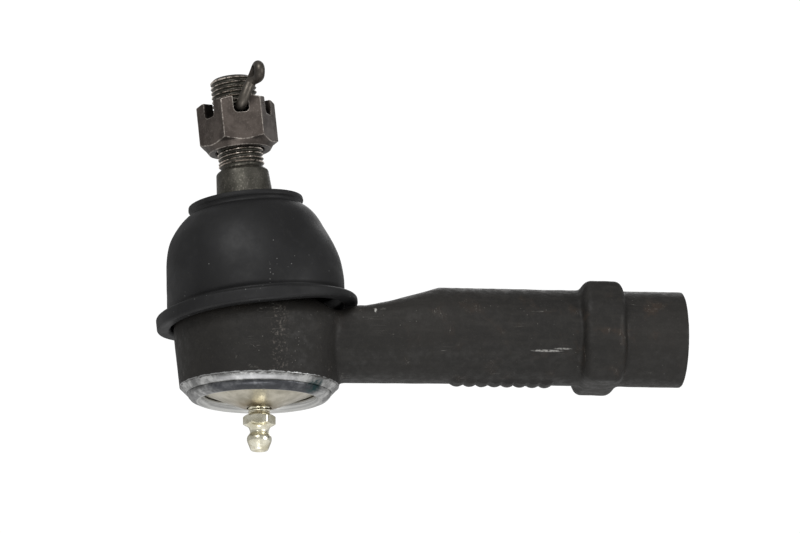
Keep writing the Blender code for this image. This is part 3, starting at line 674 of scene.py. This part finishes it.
# ---- housing
def neck_ring(shape, distance):
    """One ring of the neck and shank, round below the axis and squarer above it near the drum."""
    run = clamped((distance - NECK_RISE_START) / (NECK_RISE_END - NECK_RISE_START))
    foot = clamped((distance - RELIEF_START) / (RELIEF_END - RELIEF_START))
    foot_height = RELIEF_HEIGHT + (NECK_RISE_HEIGHT - RELIEF_HEIGHT) * foot
    top = foot_height + (SHANK_RADIUS - foot_height) * run ** 1.15
    half_width = NECK_HALF_WIDTH + (SHANK_RADIUS - NECK_HALF_WIDTH) * run
    squareness = NECK_SQUARENESS * (1.0 - run)
    ring = []
    for index in range(96):
        angle = tau * index / 96
        across = cos(angle)
        up = sin(angle)
        if up > 0.0:
            power = 1.0 - squareness
            height = top * up ** power
            fold = 0.0
        else:
            power = 1.0 - 0.6 * squareness
            height = -SHANK_RADIUS * abs(up) ** power
            fold = CREASE_DEPTH * (1.0 - run) * exp(-((height + CREASE_HEIGHT) / 0.7) ** 2)
        width = copysign(1.0, across) * (half_width * abs(across) ** power - fold)
        ring.append(shape.verts.new((distance * MM, width * MM, height * MM)))
    return ring


def loft(name, rings, shape, place):
    for ring, following in zip(rings, rings[1:]):
        join_rings(shape, ring, following)
    shape.faces.new(rings[0])
    shape.faces.new(rings[-1])
    return finish_mesh(name, shape, place)


def neck_and_shank():
    shape = bmesh.new()
    distances = [NECK_START, 20.0] + [21.0 + step for step in range(7)]
    distances += [NECK_RISE_START + (NECK_RISE_END - NECK_RISE_START) * step / 16 for step in range(17)]
    distances += [60.0, 75.0, 90.0, 105.0, SHANK_LENGTH + 0.15]
    return loft("shank", [neck_ring(shape, distance) for distance in distances], shape, SOCKET_PLACE)


def collar():
    quarter = [(COLLAR_HALF_WIDTH, COLLAR_HALF_SIDE), (COLLAR_HALF_FLAT, COLLAR_HALF_HEIGHT)]
    corners = quarter + [(-across, up) for across, up in quarter[::-1]]
    corners += [(-across, -up) for across, up in corners]
    shape = bmesh.new()
    rings = []
    for along, root in ((-COLLAR_HALF_BASE, True), (-COLLAR_HALF_CREST, False),
                        (COLLAR_HALF_CREST, False), (COLLAR_HALF_BASE, True)):
        ring = []
        for across, up in corners:
            shrink = (SHANK_RADIUS - 0.8) / hypot(across, up) if root else 1.0
            ring.append(shape.verts.new(((COLLAR_CENTRE + along) * MM, across * shrink * MM,
                                         up * shrink * MM)))
        rings.append(ring)
    item = loft("collar", rings, shape, SOCKET_PLACE)
    bevel(item, COLLAR_ROUNDING, 5, 15.0)
    return item


def drum():
    outline = [(0.0, 10.0), (13.4, 10.0, 0.8), (22.0, 4.3, 0.8), (DRUM_RADIUS, 1.8, 2.0),
               (DRUM_RADIUS - 0.2, -1.8, 1.0), (DRUM_RADIUS - 17.0 * DRUM_DRAFT, -17.0),
               (0.0, -17.0)]
    return lathe("housing_forging", densified(rounded(outline), 1.5), 160, SOCKET_PLACE)


def join_meshes(target, *others):
    shape = bmesh.new()
    for item in (target, *others):
        shape.from_mesh(item.data)
    shape.to_mesh(target.data)
    shape.free()
    for item in others:
        bpy.data.objects.remove(item, do_unlink=True)


def from_drum_axis(spot):
    return hypot(spot.x - BALL_CENTRE.x, spot.y - BALL_CENTRE.y) / MM


def soften_junction(item):
    """Widens the fillet where the neck leaves the drum."""
    group = item.vertex_groups.new(name="junction")
    for vert in item.data.vertices:
        if vert.co.x - BALL_CENTRE.x > 0.008 and vert.co.z < 0.0060:
            weight = max(0.0, 1.0 - abs(from_drum_axis(vert.co) - FILLET_RADIUS) / FILLET_REACH)
            if weight > 0.0:
                group.add([vert.index], weight, "REPLACE")
    modify(item, "SMOOTH", vertex_group="junction", factor=0.8, iterations=45)
    apply_modifiers(item)


def raised_pip(spot):
    """Height of the plain raised pips in a row along the shank's underside."""
    along = spot.x / MM
    if not PIP_START < along < PIP_END or spot.z > 0.0:
        return 0.0
    wave = abs(sin(pi * (along - PIP_START) / PIP_PITCH))
    around = abs(spot.y / MM) / PIP_HALF_LENGTH
    return PIP_HEIGHT * wave ** 0.6 * clamped(3.0 * (1.0 - around))


def forged_skin(item):
    """Moves the vertices by the small lumps of a forging."""
    mesh = item.data
    normals = [vert.normal.copy() for vert in mesh.vertices]
    spots = []
    for vert, normal in zip(mesh.vertices, normals):
        lump = 0.07 * noise.noise(vert.co / 0.006) + 0.04 * noise.noise(vert.co / 0.0022)
        lump += raised_pip(vert.co - BALL_CENTRE)
        spots.extend(vert.co + normal * lump * MM)
    mesh.vertices.foreach_set("co", spots)
    mesh.update()


def make_housing(material):
    forging = drum()
    join_meshes(forging, neck_and_shank(), collar())
    modify(forging, "REMESH", mode="VOXEL", voxel_size=FORGED_VOXEL * MM)
    modify(forging, "SMOOTH", factor=0.5, iterations=5)
    apply_modifiers(forging)
    soften_junction(forging)
    forged_skin(forging)
    below = box_mesh("below", (-40.0, -40.0, -30.0), (40.0, 40.0, DRUM_BOTTOM), SOCKET_PLACE)
    beyond = box_mesh("beyond", (0.0, -30.0, -30.0), (20.0, 30.0, 30.0))
    hollow = vectors((0.0, 14.0), (11.4, 14.0), (11.4, 7.8), (16.5, 7.8), (16.5, -14.8),
                     (19.0, -14.8), (19.0, -18.0), (0.0, -18.0))
    socket = lathe("socket", hollow, 96, SOCKET_PLACE)
    drilled = vectors((0.0, 2.0), (BORE_MOUTH, 2.0), (BORE_MOUTH, -BORE_DEPTH),
                      (0.0, -BORE_DEPTH - BORE_POINT))
    bore = lathe("bore", drilled, 64, SHANK_PLACE)
    cut(forging, below, beyond, socket, bore)
    mark_wear(forging, 3)
    finish_piece(forging, 40.0, "housing", "housing", material)


def make_lip(material):
    """The housing's lower edge: a turned bevel, a crack, and the lip rolled over the cover plate."""
    outline = [(21.78, DRUM_BOTTOM + 0.05, 0.15), (19.98, -17.20, 0.12), (19.55, -17.05, 0.05),
               (19.60, -17.35, 0.08), (19.45, -17.95, 0.3), (18.75, -18.72, 0.5), (17.25, -19.38, 0.25),
               (16.75, -19.36, 0.25), (15.75, -18.35, 0.4), (15.40, -17.40, 0.2), (15.40, -17.15, 0.1),
               (16.2, -17.05, 0.1), (18.8, -16.0), (18.8, DRUM_BOTTOM + 0.8),
               (21.3, DRUM_BOTTOM + 0.8, 0.1)]

    def hammered(angle, radius, height):
        spot = Vector((cos(angle), sin(angle), 0.0)) * radius
        shift = 0.10 * noise.noise(spot * 0.30 + Vector((0.0, 0.0, height)))
        return radius + shift * clamped(-height - 15.6), height

    lip = turned("housing_rolled_lip", outline, 0.5, 256, SOCKET_PLACE, reshape=hammered)
    store(lip, "inner", [clamped((17.3 - from_drum_axis(vert.co)) / 0.4)
                         for vert in lip.data.vertices])
    finish_piece(lip, 40.0, "housing", "housing", material)


def helical(radius, depth, pitch, start, end, fade):
    """A reshaping function that cuts a thread of that depth into the surface at that radius."""
    def reshape(angle, here, height):
        if abs(here - radius) > 0.01 or not start < height < end:
            return here, height
        phase = (height / pitch - angle / tau) % 1.0
        groove = clamped(1.25 * (1.0 - abs(2.0 * phase - 1.0)))
        ends = min(1.0, (height - start) / fade, (end - height) / fade)
        return here - depth * groove * ends, height
    return reshape


def make_shank_thread(material):
    """The female thread in the shank's bore."""
    mouth = vectors((BORE_MOUTH + 0.3, -0.25), (BORE_MOUTH, -0.12), (BORE_RADIUS, -1.0))
    threaded = densified(vectors((BORE_RADIUS, -1.0), (BORE_RADIUS, -BORE_THREADED)), BORE_PITCH / 9)
    rest = vectors((BORE_RADIUS, -BORE_DEPTH), (BORE_MOUTH + 0.3, -BORE_DEPTH))
    cut_thread = helical(BORE_RADIUS, -0.75, BORE_PITCH, 0.1 - BORE_THREADED, -0.9, 0.8)
    sleeve = lathe("shank_bore_thread", mouth + threaded[1:] + rest, 72, SHANK_PLACE, closed=True,
                   reshape=cut_thread)
    finish_piece(sleeve, 60.0, "housing", "housing", material)


# ---- cover plate and grease fitting
def make_cover(material):
    outline = [(13.8, -15.1, 0.2), (17.3, -15.1, 0.2), (17.3, -16.85, 0.3), (15.1, -16.9, 0.6),
               (10.5, -18.75, 2.0), (4.6, -21.15, 0.8), (3.42, -21.38, 0.2), (3.42, -19.6, 0.1),
               (4.2, -19.6, 0.3)]
    cover = turned("cover_plate_pressed", outline, 0.8, 160, SOCKET_PLACE)
    finish_piece(cover, 40.0, "housing", "cover_plate", material)


def hexagon_radius(angle):
    """Distance from the fitting's axis to its hexagon, whose corners are a little rounded off."""
    step = radians(60.0)
    off = (angle - FITTING_AZIMUTH + step / 2) % step - step / 2
    return min(FITTING_HALF_FLATS / cos(off), FITTING_HALF_FLATS / cos(step / 2) - 0.12)


def make_fitting(material):
    outline = [(0.95, -17.65, 0.1), (2.7, -17.65, 0.15), (3.05, -18.0, 0.1), (3.05, -22.6, 0.2),
               (2.75, -23.0, 0.15), (2.75, -23.2, 0.05), (3.6, -23.22, 0.1), (4.50, -23.75, 0.1),
               (4.50, -25.7, 0.1), (3.5, -26.2, 0.15), (2.95, -26.6, 0.3), (2.55, -27.6, 0.6),
               (2.55, -28.15, 0.5), (3.4, -29.3, 0.5), (3.4, -30.35, 0.35), (2.45, -32.75, 0.25),
               (2.1, -33.08, 0.15), (1.55, -33.08, 0.1), (0.85, -32.4, 0.2), (0.80, -32.0, 0.1),
               (1.5, -31.4, 0.1), (1.5, -24.4, 0.1), (0.95, -24.3, 0.1)]

    def wrenched(angle, radius, height):
        if -26.3 < height < -23.1 and radius > 3.2:
            return min(radius, hexagon_radius(angle)), height
        return helical(3.05, 0.34, 0.907, -22.6, -18.0, 0.5)(angle, radius, height)

    fitting = turned("grease_fitting_turned", outline, 0.12, 120, SOCKET_PLACE, reshape=wrenched,
                     first_angle=FITTING_AZIMUTH + radians(30.0))
    finish_piece(fitting, 38.0, "housing", "grease_fitting_body", material)


def make_check_ball(material):
    points = []
    for step in range(17):
        angle = radians(90.0 - 180.0 * step / 16)
        points.append(Vector((max(0.0, CHECK_BALL_RADIUS * cos(angle)),
                              CHECK_BALL_HEIGHT + CHECK_BALL_RADIUS * sin(angle))))
    ball = lathe("grease_fitting_check_ball", points, 32, SOCKET_PLACE)
    finish_piece(ball, 60.0, "check_ball", "grease_fitting_ball", material)


def make_check_spring(material):
    """The check ball's coil spring."""
    shape = bmesh.new()
    rings = []
    count = CHECK_SPRING_TURNS * CHECK_SPRING_STEPS
    for index in range(count + 1):
        angle = tau * index / CHECK_SPRING_STEPS
        outward = Vector((cos(angle), sin(angle), 0.0))
        height = CHECK_SPRING_BOTTOM + (CHECK_SPRING_TOP - CHECK_SPRING_BOTTOM) * index / count
        ring = []
        for step in range(8):
            turn = tau * step / 8
            spot = outward * (CHECK_SPRING_RADIUS + CHECK_SPRING_WIRE * cos(turn))
            spot.z = height + CHECK_SPRING_WIRE * sin(turn)
            ring.append(shape.verts.new(spot * MM))
        rings.append(ring)
    spring = loft("grease_fitting_coil", rings, shape, SOCKET_PLACE)
    finish_bent(spring, 60.0, "grease_fitting_spring", material)


# ---- dust boot
def dome(drop, steps, low, high):
    """The dome's outline from its crown down, moved in by drop, between two heights."""
    outline = []
    for step in range(steps + 1):
        angle = radians(90.0 * (1.0 - step / steps))
        height = DOME_FOOT + (DOME_HEIGHT - drop) * sin(angle)
        if low < height < high:
            outline.append(((DOME_WIDTH - drop) * cos(angle) + DOME_CENTRE, height))
    return outline


def skirt_outline():
    """The flange and the foot of the dome, up to the seam between the boot's two pieces."""
    outline = [(seam_radius(0.0), BOOT_SEAM)] + dome(0.0, 96, 0.0, BOOT_SEAM)
    outline += [(24.5, 9.0, 0.5), (24.0, 7.95, 0.4), (24.6, 7.35, 0.3), (25.2, 7.10, 0.4),
                (27.4, 7.0, 0.5), (27.8, 6.5, 0.4), (27.8, 3.6, 0.4), (27.3, 3.1, 0.4),
                (24.6, 3.1, 0.4), (24.0, 3.7, 0.3), (24.0, 6.9, 0.4), (22.5, 8.9, 0.4)]
    outline += dome(BOOT_WALL, 48, 0.0, BOOT_SEAM)[::-1]
    return densified(rounded(outline + [(seam_radius(BOOT_WALL), BOOT_SEAM)]), 0.6)


def bell_outline():
    """The dome above the seam, and the lip that grips the stud."""
    inner = dome(BOOT_WALL, 48, BOOT_SEAM, DOME_FOOT + DOME_HEIGHT)[::-1]
    outline = [(seam_radius(BOOT_WALL), BOOT_SEAM)] + inner
    outline += [(9.1, inner[-1][1], 0.2), (9.1, 34.2), (13.3, 34.2), (13.3, 35.7),
                (9.1, 35.7), (9.1, 36.55, 0.2), (11.2, 36.60, 0.3), (12.2, 36.42, 0.4),
                (13.4, 36.60, 0.3), (15.8, 36.58, 0.25), (15.95, 35.45, 0.3), (15.35, 34.75, 0.5),
                (15.4, 33.9, 0.6)]
    outline += dome(0.0, 96, BOOT_SEAM, 33.2) + [(seam_radius(0.0), BOOT_SEAM)]
    return densified(rounded(outline), 0.9)


def seam_radius(drop):
    """The dome's radius at the seam, moved in by drop."""
    share = (BOOT_SEAM - DOME_FOOT) / (DOME_HEIGHT - drop)
    return DOME_CENTRE + (DOME_WIDTH - drop) * sqrt(1.0 - share ** 2)


def eased(value):
    """A smooth step from 0 to 1."""
    share = clamped(value)
    return share * share * (3.0 - 2.0 * share)


def slumped(angle, radius, height):
    """The dome leans a little further over than its seat does, and the flange is thin over the neck."""
    side = cos(angle)
    level = eased((height - 8.0) / 5.0) * eased((34.0 - height) / 8.0)
    bulge = (0.33 - 0.95 * eased((height - 16.0) / 12.0)) * level * side
    uneven = 0.10 * noise.noise(Vector((side * 2.0, sin(angle) * 2.0, height * 0.12)))
    slack = eased((12.0 - height) / 5.0) * eased((radius - 22.5) / 2.5)
    under = eased((6.6 - height) / 2.5)
    lift = FLANGE_THINNING * eased(side) * under - FLANGE_DROP * max(0.0, -side) ** 4
    return radius + bulge + uneven * level, height + slack * lift


def make_boot(material):
    """The boot, in two pieces that meet at a seam: the skirt below and the bell above."""
    for name, outline, bodies, low, high in (
            ("dust_boot_skirt", skirt_outline(), ("housing", "boot"), 8.0, BOOT_SEAM - 0.2),
            ("dust_boot_bell", bell_outline(), ("boot", "boot_lip"), BOOT_SEAM + 0.2, 33.5)):
        boot = lathe(name, outline, 192, STUD_PLACE, reshape=slumped)
        finish_bent(boot, 45.0, "dust_boot", material)


# ---- stud, nut and pin
def make_stud(material):
    ball = []
    for step in range(33):
        height = STUD_NECK_HEIGHT + (STUD_BALL_BOTTOM - STUD_NECK_HEIGHT) * step / 32
        ball.append((sqrt(STUD_BALL_RADIUS ** 2 - height ** 2), height))
    outline = [(0.0, STUD_TOP - 0.2), (1.6, STUD_TOP - 0.2, 0.2), (2.2, STUD_TOP, 0.2),
               (5.3, STUD_TOP, 0.4), (THREAD_RADIUS, STUD_TOP - 0.95, 0.2)]
    low = [(THREAD_RADIUS, THREAD_BOTTOM, 0.2), (5.75, 46.7, 0.3), (5.85, 46.0, 0.2),
           (6.6, 45.6, 0.3), (7.25, 45.0, 0.3), (8.88, 24.5, 0.5), (7.2, 18.5, 2.0)]
    top = rounded(outline + low[:1])
    rest = rounded(low + ball[:1])
    points = densified(top, THREAD_PITCH / 12) + densified(rest, 1.0)[1:]
    points += vectors(*ball[1:], (0.0, STUD_BALL_BOTTOM))
    thread = helical(THREAD_RADIUS, THREAD_DEPTH, THREAD_PITCH, THREAD_BOTTOM, STUD_TOP - 0.6, 0.7)
    stud = lathe("ball_stud_turned", points, 96, PIN_PLACE, reshape=thread)
    hole_place = PIN_PLACE @ Matrix.Translation((0.0, 0.0, PIN_HOLE_HEIGHT * MM))
    hole_place = hole_place @ Matrix.Rotation(radians(90.0), 4, "Y")
    outline = vectors((0.0, 9.0), (PIN_HOLE_RADIUS, 9.0), (PIN_HOLE_RADIUS, -9.0), (0.0, -9.0))
    hole = lathe("hole", outline, 32, hole_place)
    cut(stud, hole)
    wear = []
    inverse = PIN_PLACE.inverted()
    for vert in stud.data.vertices:
        spot = inverse @ vert.co / MM
        threaded = THREAD_BOTTOM - 0.2 < spot.z < STUD_TOP
        depth = THREAD_RADIUS - hypot(spot.x, spot.y)
        wear.append(max(0.0, 1.0 - depth / 0.35) if threaded else 0.0)
    store(stud, "wear", wear)
    finish_piece(stud, 50.0, "stud", "ball_stud", material)


def nut_shade(spot):
    """Painted shade: darkest inside the slots, where the phosphate is also dark, and a little on the
    chamfer underneath.
    """
    inside = 0.0
    reach = 0.0
    for pair in range(3):
        turn = radians(60.0 * pair)
        across = abs(spot.x * cos(turn) + spot.y * sin(turn))
        aside = abs(spot.y * cos(turn) - spot.x * sin(turn))
        reach = max(reach, across)
        if aside < SLOT_HALF_WIDTH + 0.05 and spot.z > NUT_TOP - SLOT_DEPTH - 0.1:
            inside = max(inside, clamped((NUT_HALF_FLATS - across - 0.1) / 0.7))
    if reach < NUT_HALF_FLATS - 0.12 and spot.z < NUT_BOTTOM + 2.5:
        inside = max(inside, 0.35)
    return inside


def make_nut(material):
    outline = [(6.65, NUT_TOP, 0.25), (10.0, NUT_TOP), (11.4, NUT_TOP - 0.80),
               (11.4, NUT_BOTTOM + 2.60), (9.6, NUT_BOTTOM + 1.55, 0.4), (8.6, NUT_BOTTOM),
               (7.0, NUT_BOTTOM, 0.15), (6.65, NUT_BOTTOM + 0.5, 0.1)]
    nut = lathe("castle_nut_machined", rounded(outline, closed=True), 192, PIN_PLACE, closed=True)
    corner = NUT_HALF_FLATS / cos(radians(30.0))
    column = vectors((0.0, 70.0), (corner, 70.0), (corner, 45.0), (0.0, 45.0))
    hexagon = lathe("hexagon", column, 6, PIN_PLACE, first_angle=radians(30.0))
    cut(nut, hexagon, operation="INTERSECT")
    slots = []
    for pair in range(3):
        turn = PIN_PLACE @ Matrix.Rotation(radians(60.0 * pair), 4, "Z")
        slots.append(box_mesh("slot", (-14.0, -SLOT_HALF_WIDTH, NUT_TOP - SLOT_DEPTH),
                              (14.0, SLOT_HALF_WIDTH, NUT_TOP + 4.0), turn, 1.2))
    cut(nut, *slots)
    edges = sharp_points(nut)
    bevel(nut, NUT_ROUNDING, 2, 25.0)
    subdivide(nut, NUT_FACE_SIZE)
    mark_edges(nut, edges, NUT_WEAR_REACH)
    inverse = PIN_PLACE.inverted()
    # Painted shade in the slots and on the chamfer underneath, stored as the inner attribute.
    store(nut, "inner", [nut_shade(inverse @ vert.co / MM) for vert in nut.data.vertices])
    finish_piece(nut, 32.0, "stud", "castle_nut", material)


def smooth_path(points, steps=5):
    """A smooth curve through the points."""
    path = []
    for index in range(len(points) - 1):
        before = points[max(0, index - 1)]
        first, last = points[index], points[index + 1]
        after = points[min(len(points) - 1, index + 2)]
        for step in range(steps):
            share = step / steps
            curve = 2.0 * first + (last - before) * share
            curve += (2.0 * before - 5.0 * first + 4.0 * last - after) * share ** 2
            curve += (3.0 * first - before - 3.0 * last + after) * share ** 3
            path.append(curve / 2.0)
    path.append(points[-1])
    return path


def pin_path():
    """The inner line of the folded wire: towards the eye, across the stud and up.

    It goes along the lower leg, up out of the slot, round the eye and back along the upper leg."""
    roll = Vector((0.0, sin(PIN_ROLL), cos(PIN_ROLL)))
    spread = ((-13.0, 5.75), (-12.75, 3.6), (-12.5, 1.9), (-12.2, 0.85), (-11.8, 0.25), (-11.0, 0.0))
    legs = []
    for side, end in ((-1.0, 8.2), (1.0, 8.0)):
        leg = [Vector((along, 0.0, 0.0)) + roll * side * (apart + 0.06) for along, apart in spread]
        legs.append(leg + vectors(*((along, 0.0, 0.06 * side) for along in (-6.0, 0.0, 6.0, end))))
    near_branch = vectors((9.6, 0.25, 0.35), (10.5, 0.85, 1.6), (10.9, 1.6, 3.2), (11.0, 2.4, 4.8),
                          (11.4, 3.25, 6.0), (12.8, 4.35, 6.3), (14.4, 4.90, 6.4), (15.5, 5.05, 7.3))
    top = vectors((15.6, 5.10, 8.6), (14.4, 5.00, 9.5), (13.0, 4.85, 9.4))
    far_branch = vectors((11.9, 4.45, 8.5), (11.2, 3.85, 7.2), (10.9, 3.10, 5.7), (10.8, 2.30, 4.4),
                         (10.7, 1.55, 3.1), (10.3, 0.85, 1.8), (9.4, 0.30, 0.6))
    return smooth_path(legs[0] + near_branch + top + far_branch + legs[1][::-1])


def make_pin(material):
    """The split pin: half-round wire folded with its flats together, opened into an eye."""
    path = pin_path()
    section = []
    for step in range(15):
        angle = radians(-90.0 + 180.0 * step / 14)
        section.append((PIN_WIRE_RADIUS * cos(angle), PIN_WIRE_RADIUS * sin(angle)))
    shape = bmesh.new()
    rings = []
    for index, spot in enumerate(path):
        before = path[max(0, index - 1)]
        after = path[min(len(path) - 1, index + 1)]
        upright = clamped((spot.z - 3.0) / 4.0)
        roll = PIN_ROLL * (1.0 - upright) + PIN_EYE_ROLL * upright
        normal = Vector((0.0, -cos(roll), sin(roll)))
        ahead = (after - before).normalized()
        outward = ahead.cross(normal).normalized()
        aside = ahead.cross(outward)
        ring = [shape.verts.new((spot + outward * out + aside * wide) * MM) for out, wide in section]
        rings.append(ring)
    pin = loft("cotter_pin_folded", rings, shape,
               PIN_PLACE @ Matrix.Translation((0.0, 0.0, PIN_HOLE_HEIGHT * MM)))
    finish_piece(pin, 50.0, "stud", "cotter_pin", material)


# ---- studio
def add_camera():
    """A long lens on the nut's side of the shank, looking up a little from below."""
    turn = Matrix.Rotation(-CAMERA_YAW, 4, "Z") @ Matrix.Rotation(radians(90.0) + CAMERA_PITCH, 4, "X")
    turn = turn @ Matrix.Rotation(CAMERA_ROLL, 4, "Z")
    back = Matrix.Translation((CAMERA_ACROSS, CAMERA_UP, CAMERA_DISTANCE))
    camera = add_object("camera", bpy.data.cameras.new("camera"))
    camera.matrix_world = SOCKET_PLACE @ turn @ back
    camera.data.sensor_width = 36.0
    camera.data.lens = LENS
    camera.data.clip_start = 0.05
    camera.data.clip_end = 60.0
    bpy.context.scene.camera = camera


def add_light(name, spot, size, power):
    light = bpy.data.lights.new(name, "AREA")
    light.shape = "DISK"
    light.size = size
    light.energy = power
    item = add_object(name, light)
    item.location = spot
    item.rotation_euler = (LIGHT_AIM - Vector(spot)).to_track_quat("-Z", "Y").to_euler()


def add_sky():
    """Even white light, and a brighter white backdrop."""
    world = bpy.data.worlds.new("studio")
    bpy.context.scene.world = world
    world.use_nodes = True
    tree = world.node_tree
    background = tree.nodes["Background"]
    background.inputs["Color"].default_value = (1.0, 1.0, 1.0, 1.0)
    path = tree.nodes.new("ShaderNodeLightPath")
    strength = tree.nodes.new("ShaderNodeMapRange")
    strength.inputs["To Min"].default_value = SKY_LIGHT
    strength.inputs["To Max"].default_value = SKY_SEEN
    tree.links.new(path.outputs["Is Camera Ray"], strength.inputs["Value"])
    tree.links.new(strength.outputs["Result"], background.inputs["Strength"])


def add_floor():
    shape = bmesh.new()
    bmesh.ops.create_grid(shape, x_segments=1, y_segments=1, size=FLOOR_HALF_SIZE)
    floor = finish_mesh("floor", shape, Matrix.Translation((0.0, 0.0, FLOOR_LEVEL)))
    look = Look("floor_paper", 0.9)
    tone = look.ramp(look.noise(0.4, 2.0, 0.55), 0.3, 0.7)
    look.colour = look.mix(tone, (0.80, 0.80, 0.80), (0.83, 0.83, 0.83))
    look.shader.inputs["Emission Color"].default_value = (1.0, 1.0, 1.0, 1.0)
    look.shader.inputs["Emission Strength"].default_value = FLOOR_GLOW
    dress(floor, look.finish())


def add_studio():
    add_sky()
    for light in LIGHTS:
        add_light(*light)
    add_floor()
    bpy.context.scene.view_settings.view_transform = "Standard"


# ---- assembly
def dress_hidden_nodes():
    """The pieces inside the socket and the boot keep their CAD shape and get their own steel."""
    for node, name, colour, roughness in (
            ("upper_bearing", "upper_bearing_steel", (0.30, 0.30, 0.29), 0.55),
            ("lower_bearing", "lower_bearing_steel", (0.30, 0.30, 0.29), 0.55),
            ("preload_spring", "preload_spring_steel", (0.20, 0.20, 0.21), 0.35),
            ("boot_lip_ring", "lip_ring_steel", (0.20, 0.20, 0.21), 0.35)):
        dress(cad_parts[node], plain_steel(name, colour, roughness))


def main():
    make_housing(forged_paint())
    make_lip(lip_steel())
    make_shank_thread(phosphate_steel("bore_steel", (0.07, 0.06, 0.055), (0.13, 0.12, 0.11),
                                      (0.22, 0.20, 0.19), 0.2, 0.8))
    make_cover(cover_zinc())
    make_fitting(fitting_zinc())
    make_check_ball(plain_steel("check_ball_steel", (0.62, 0.62, 0.62), 0.18))
    make_check_spring(plain_steel("check_spring_steel", (0.20, 0.20, 0.21), 0.35))
    make_boot(boot_rubber())
    make_stud(phosphate_steel("stud_steel", (0.048, 0.046, 0.038), (0.082, 0.078, 0.066),
                              (0.78, 0.69, 0.61), 0.18, 0.62))
    make_nut(phosphate_steel("nut_steel", (0.068, 0.056, 0.049), (0.120, 0.100, 0.088),
                             (0.55, 0.50, 0.45), 0.62, 0.95))
    make_pin(phosphate_steel("pin_steel", (0.050, 0.044, 0.038), (0.100, 0.089, 0.076),
                             (0.22, 0.195, 0.155), 0.10, 0.40))
    dress_hidden_nodes()
    add_camera()
    add_studio()


main()
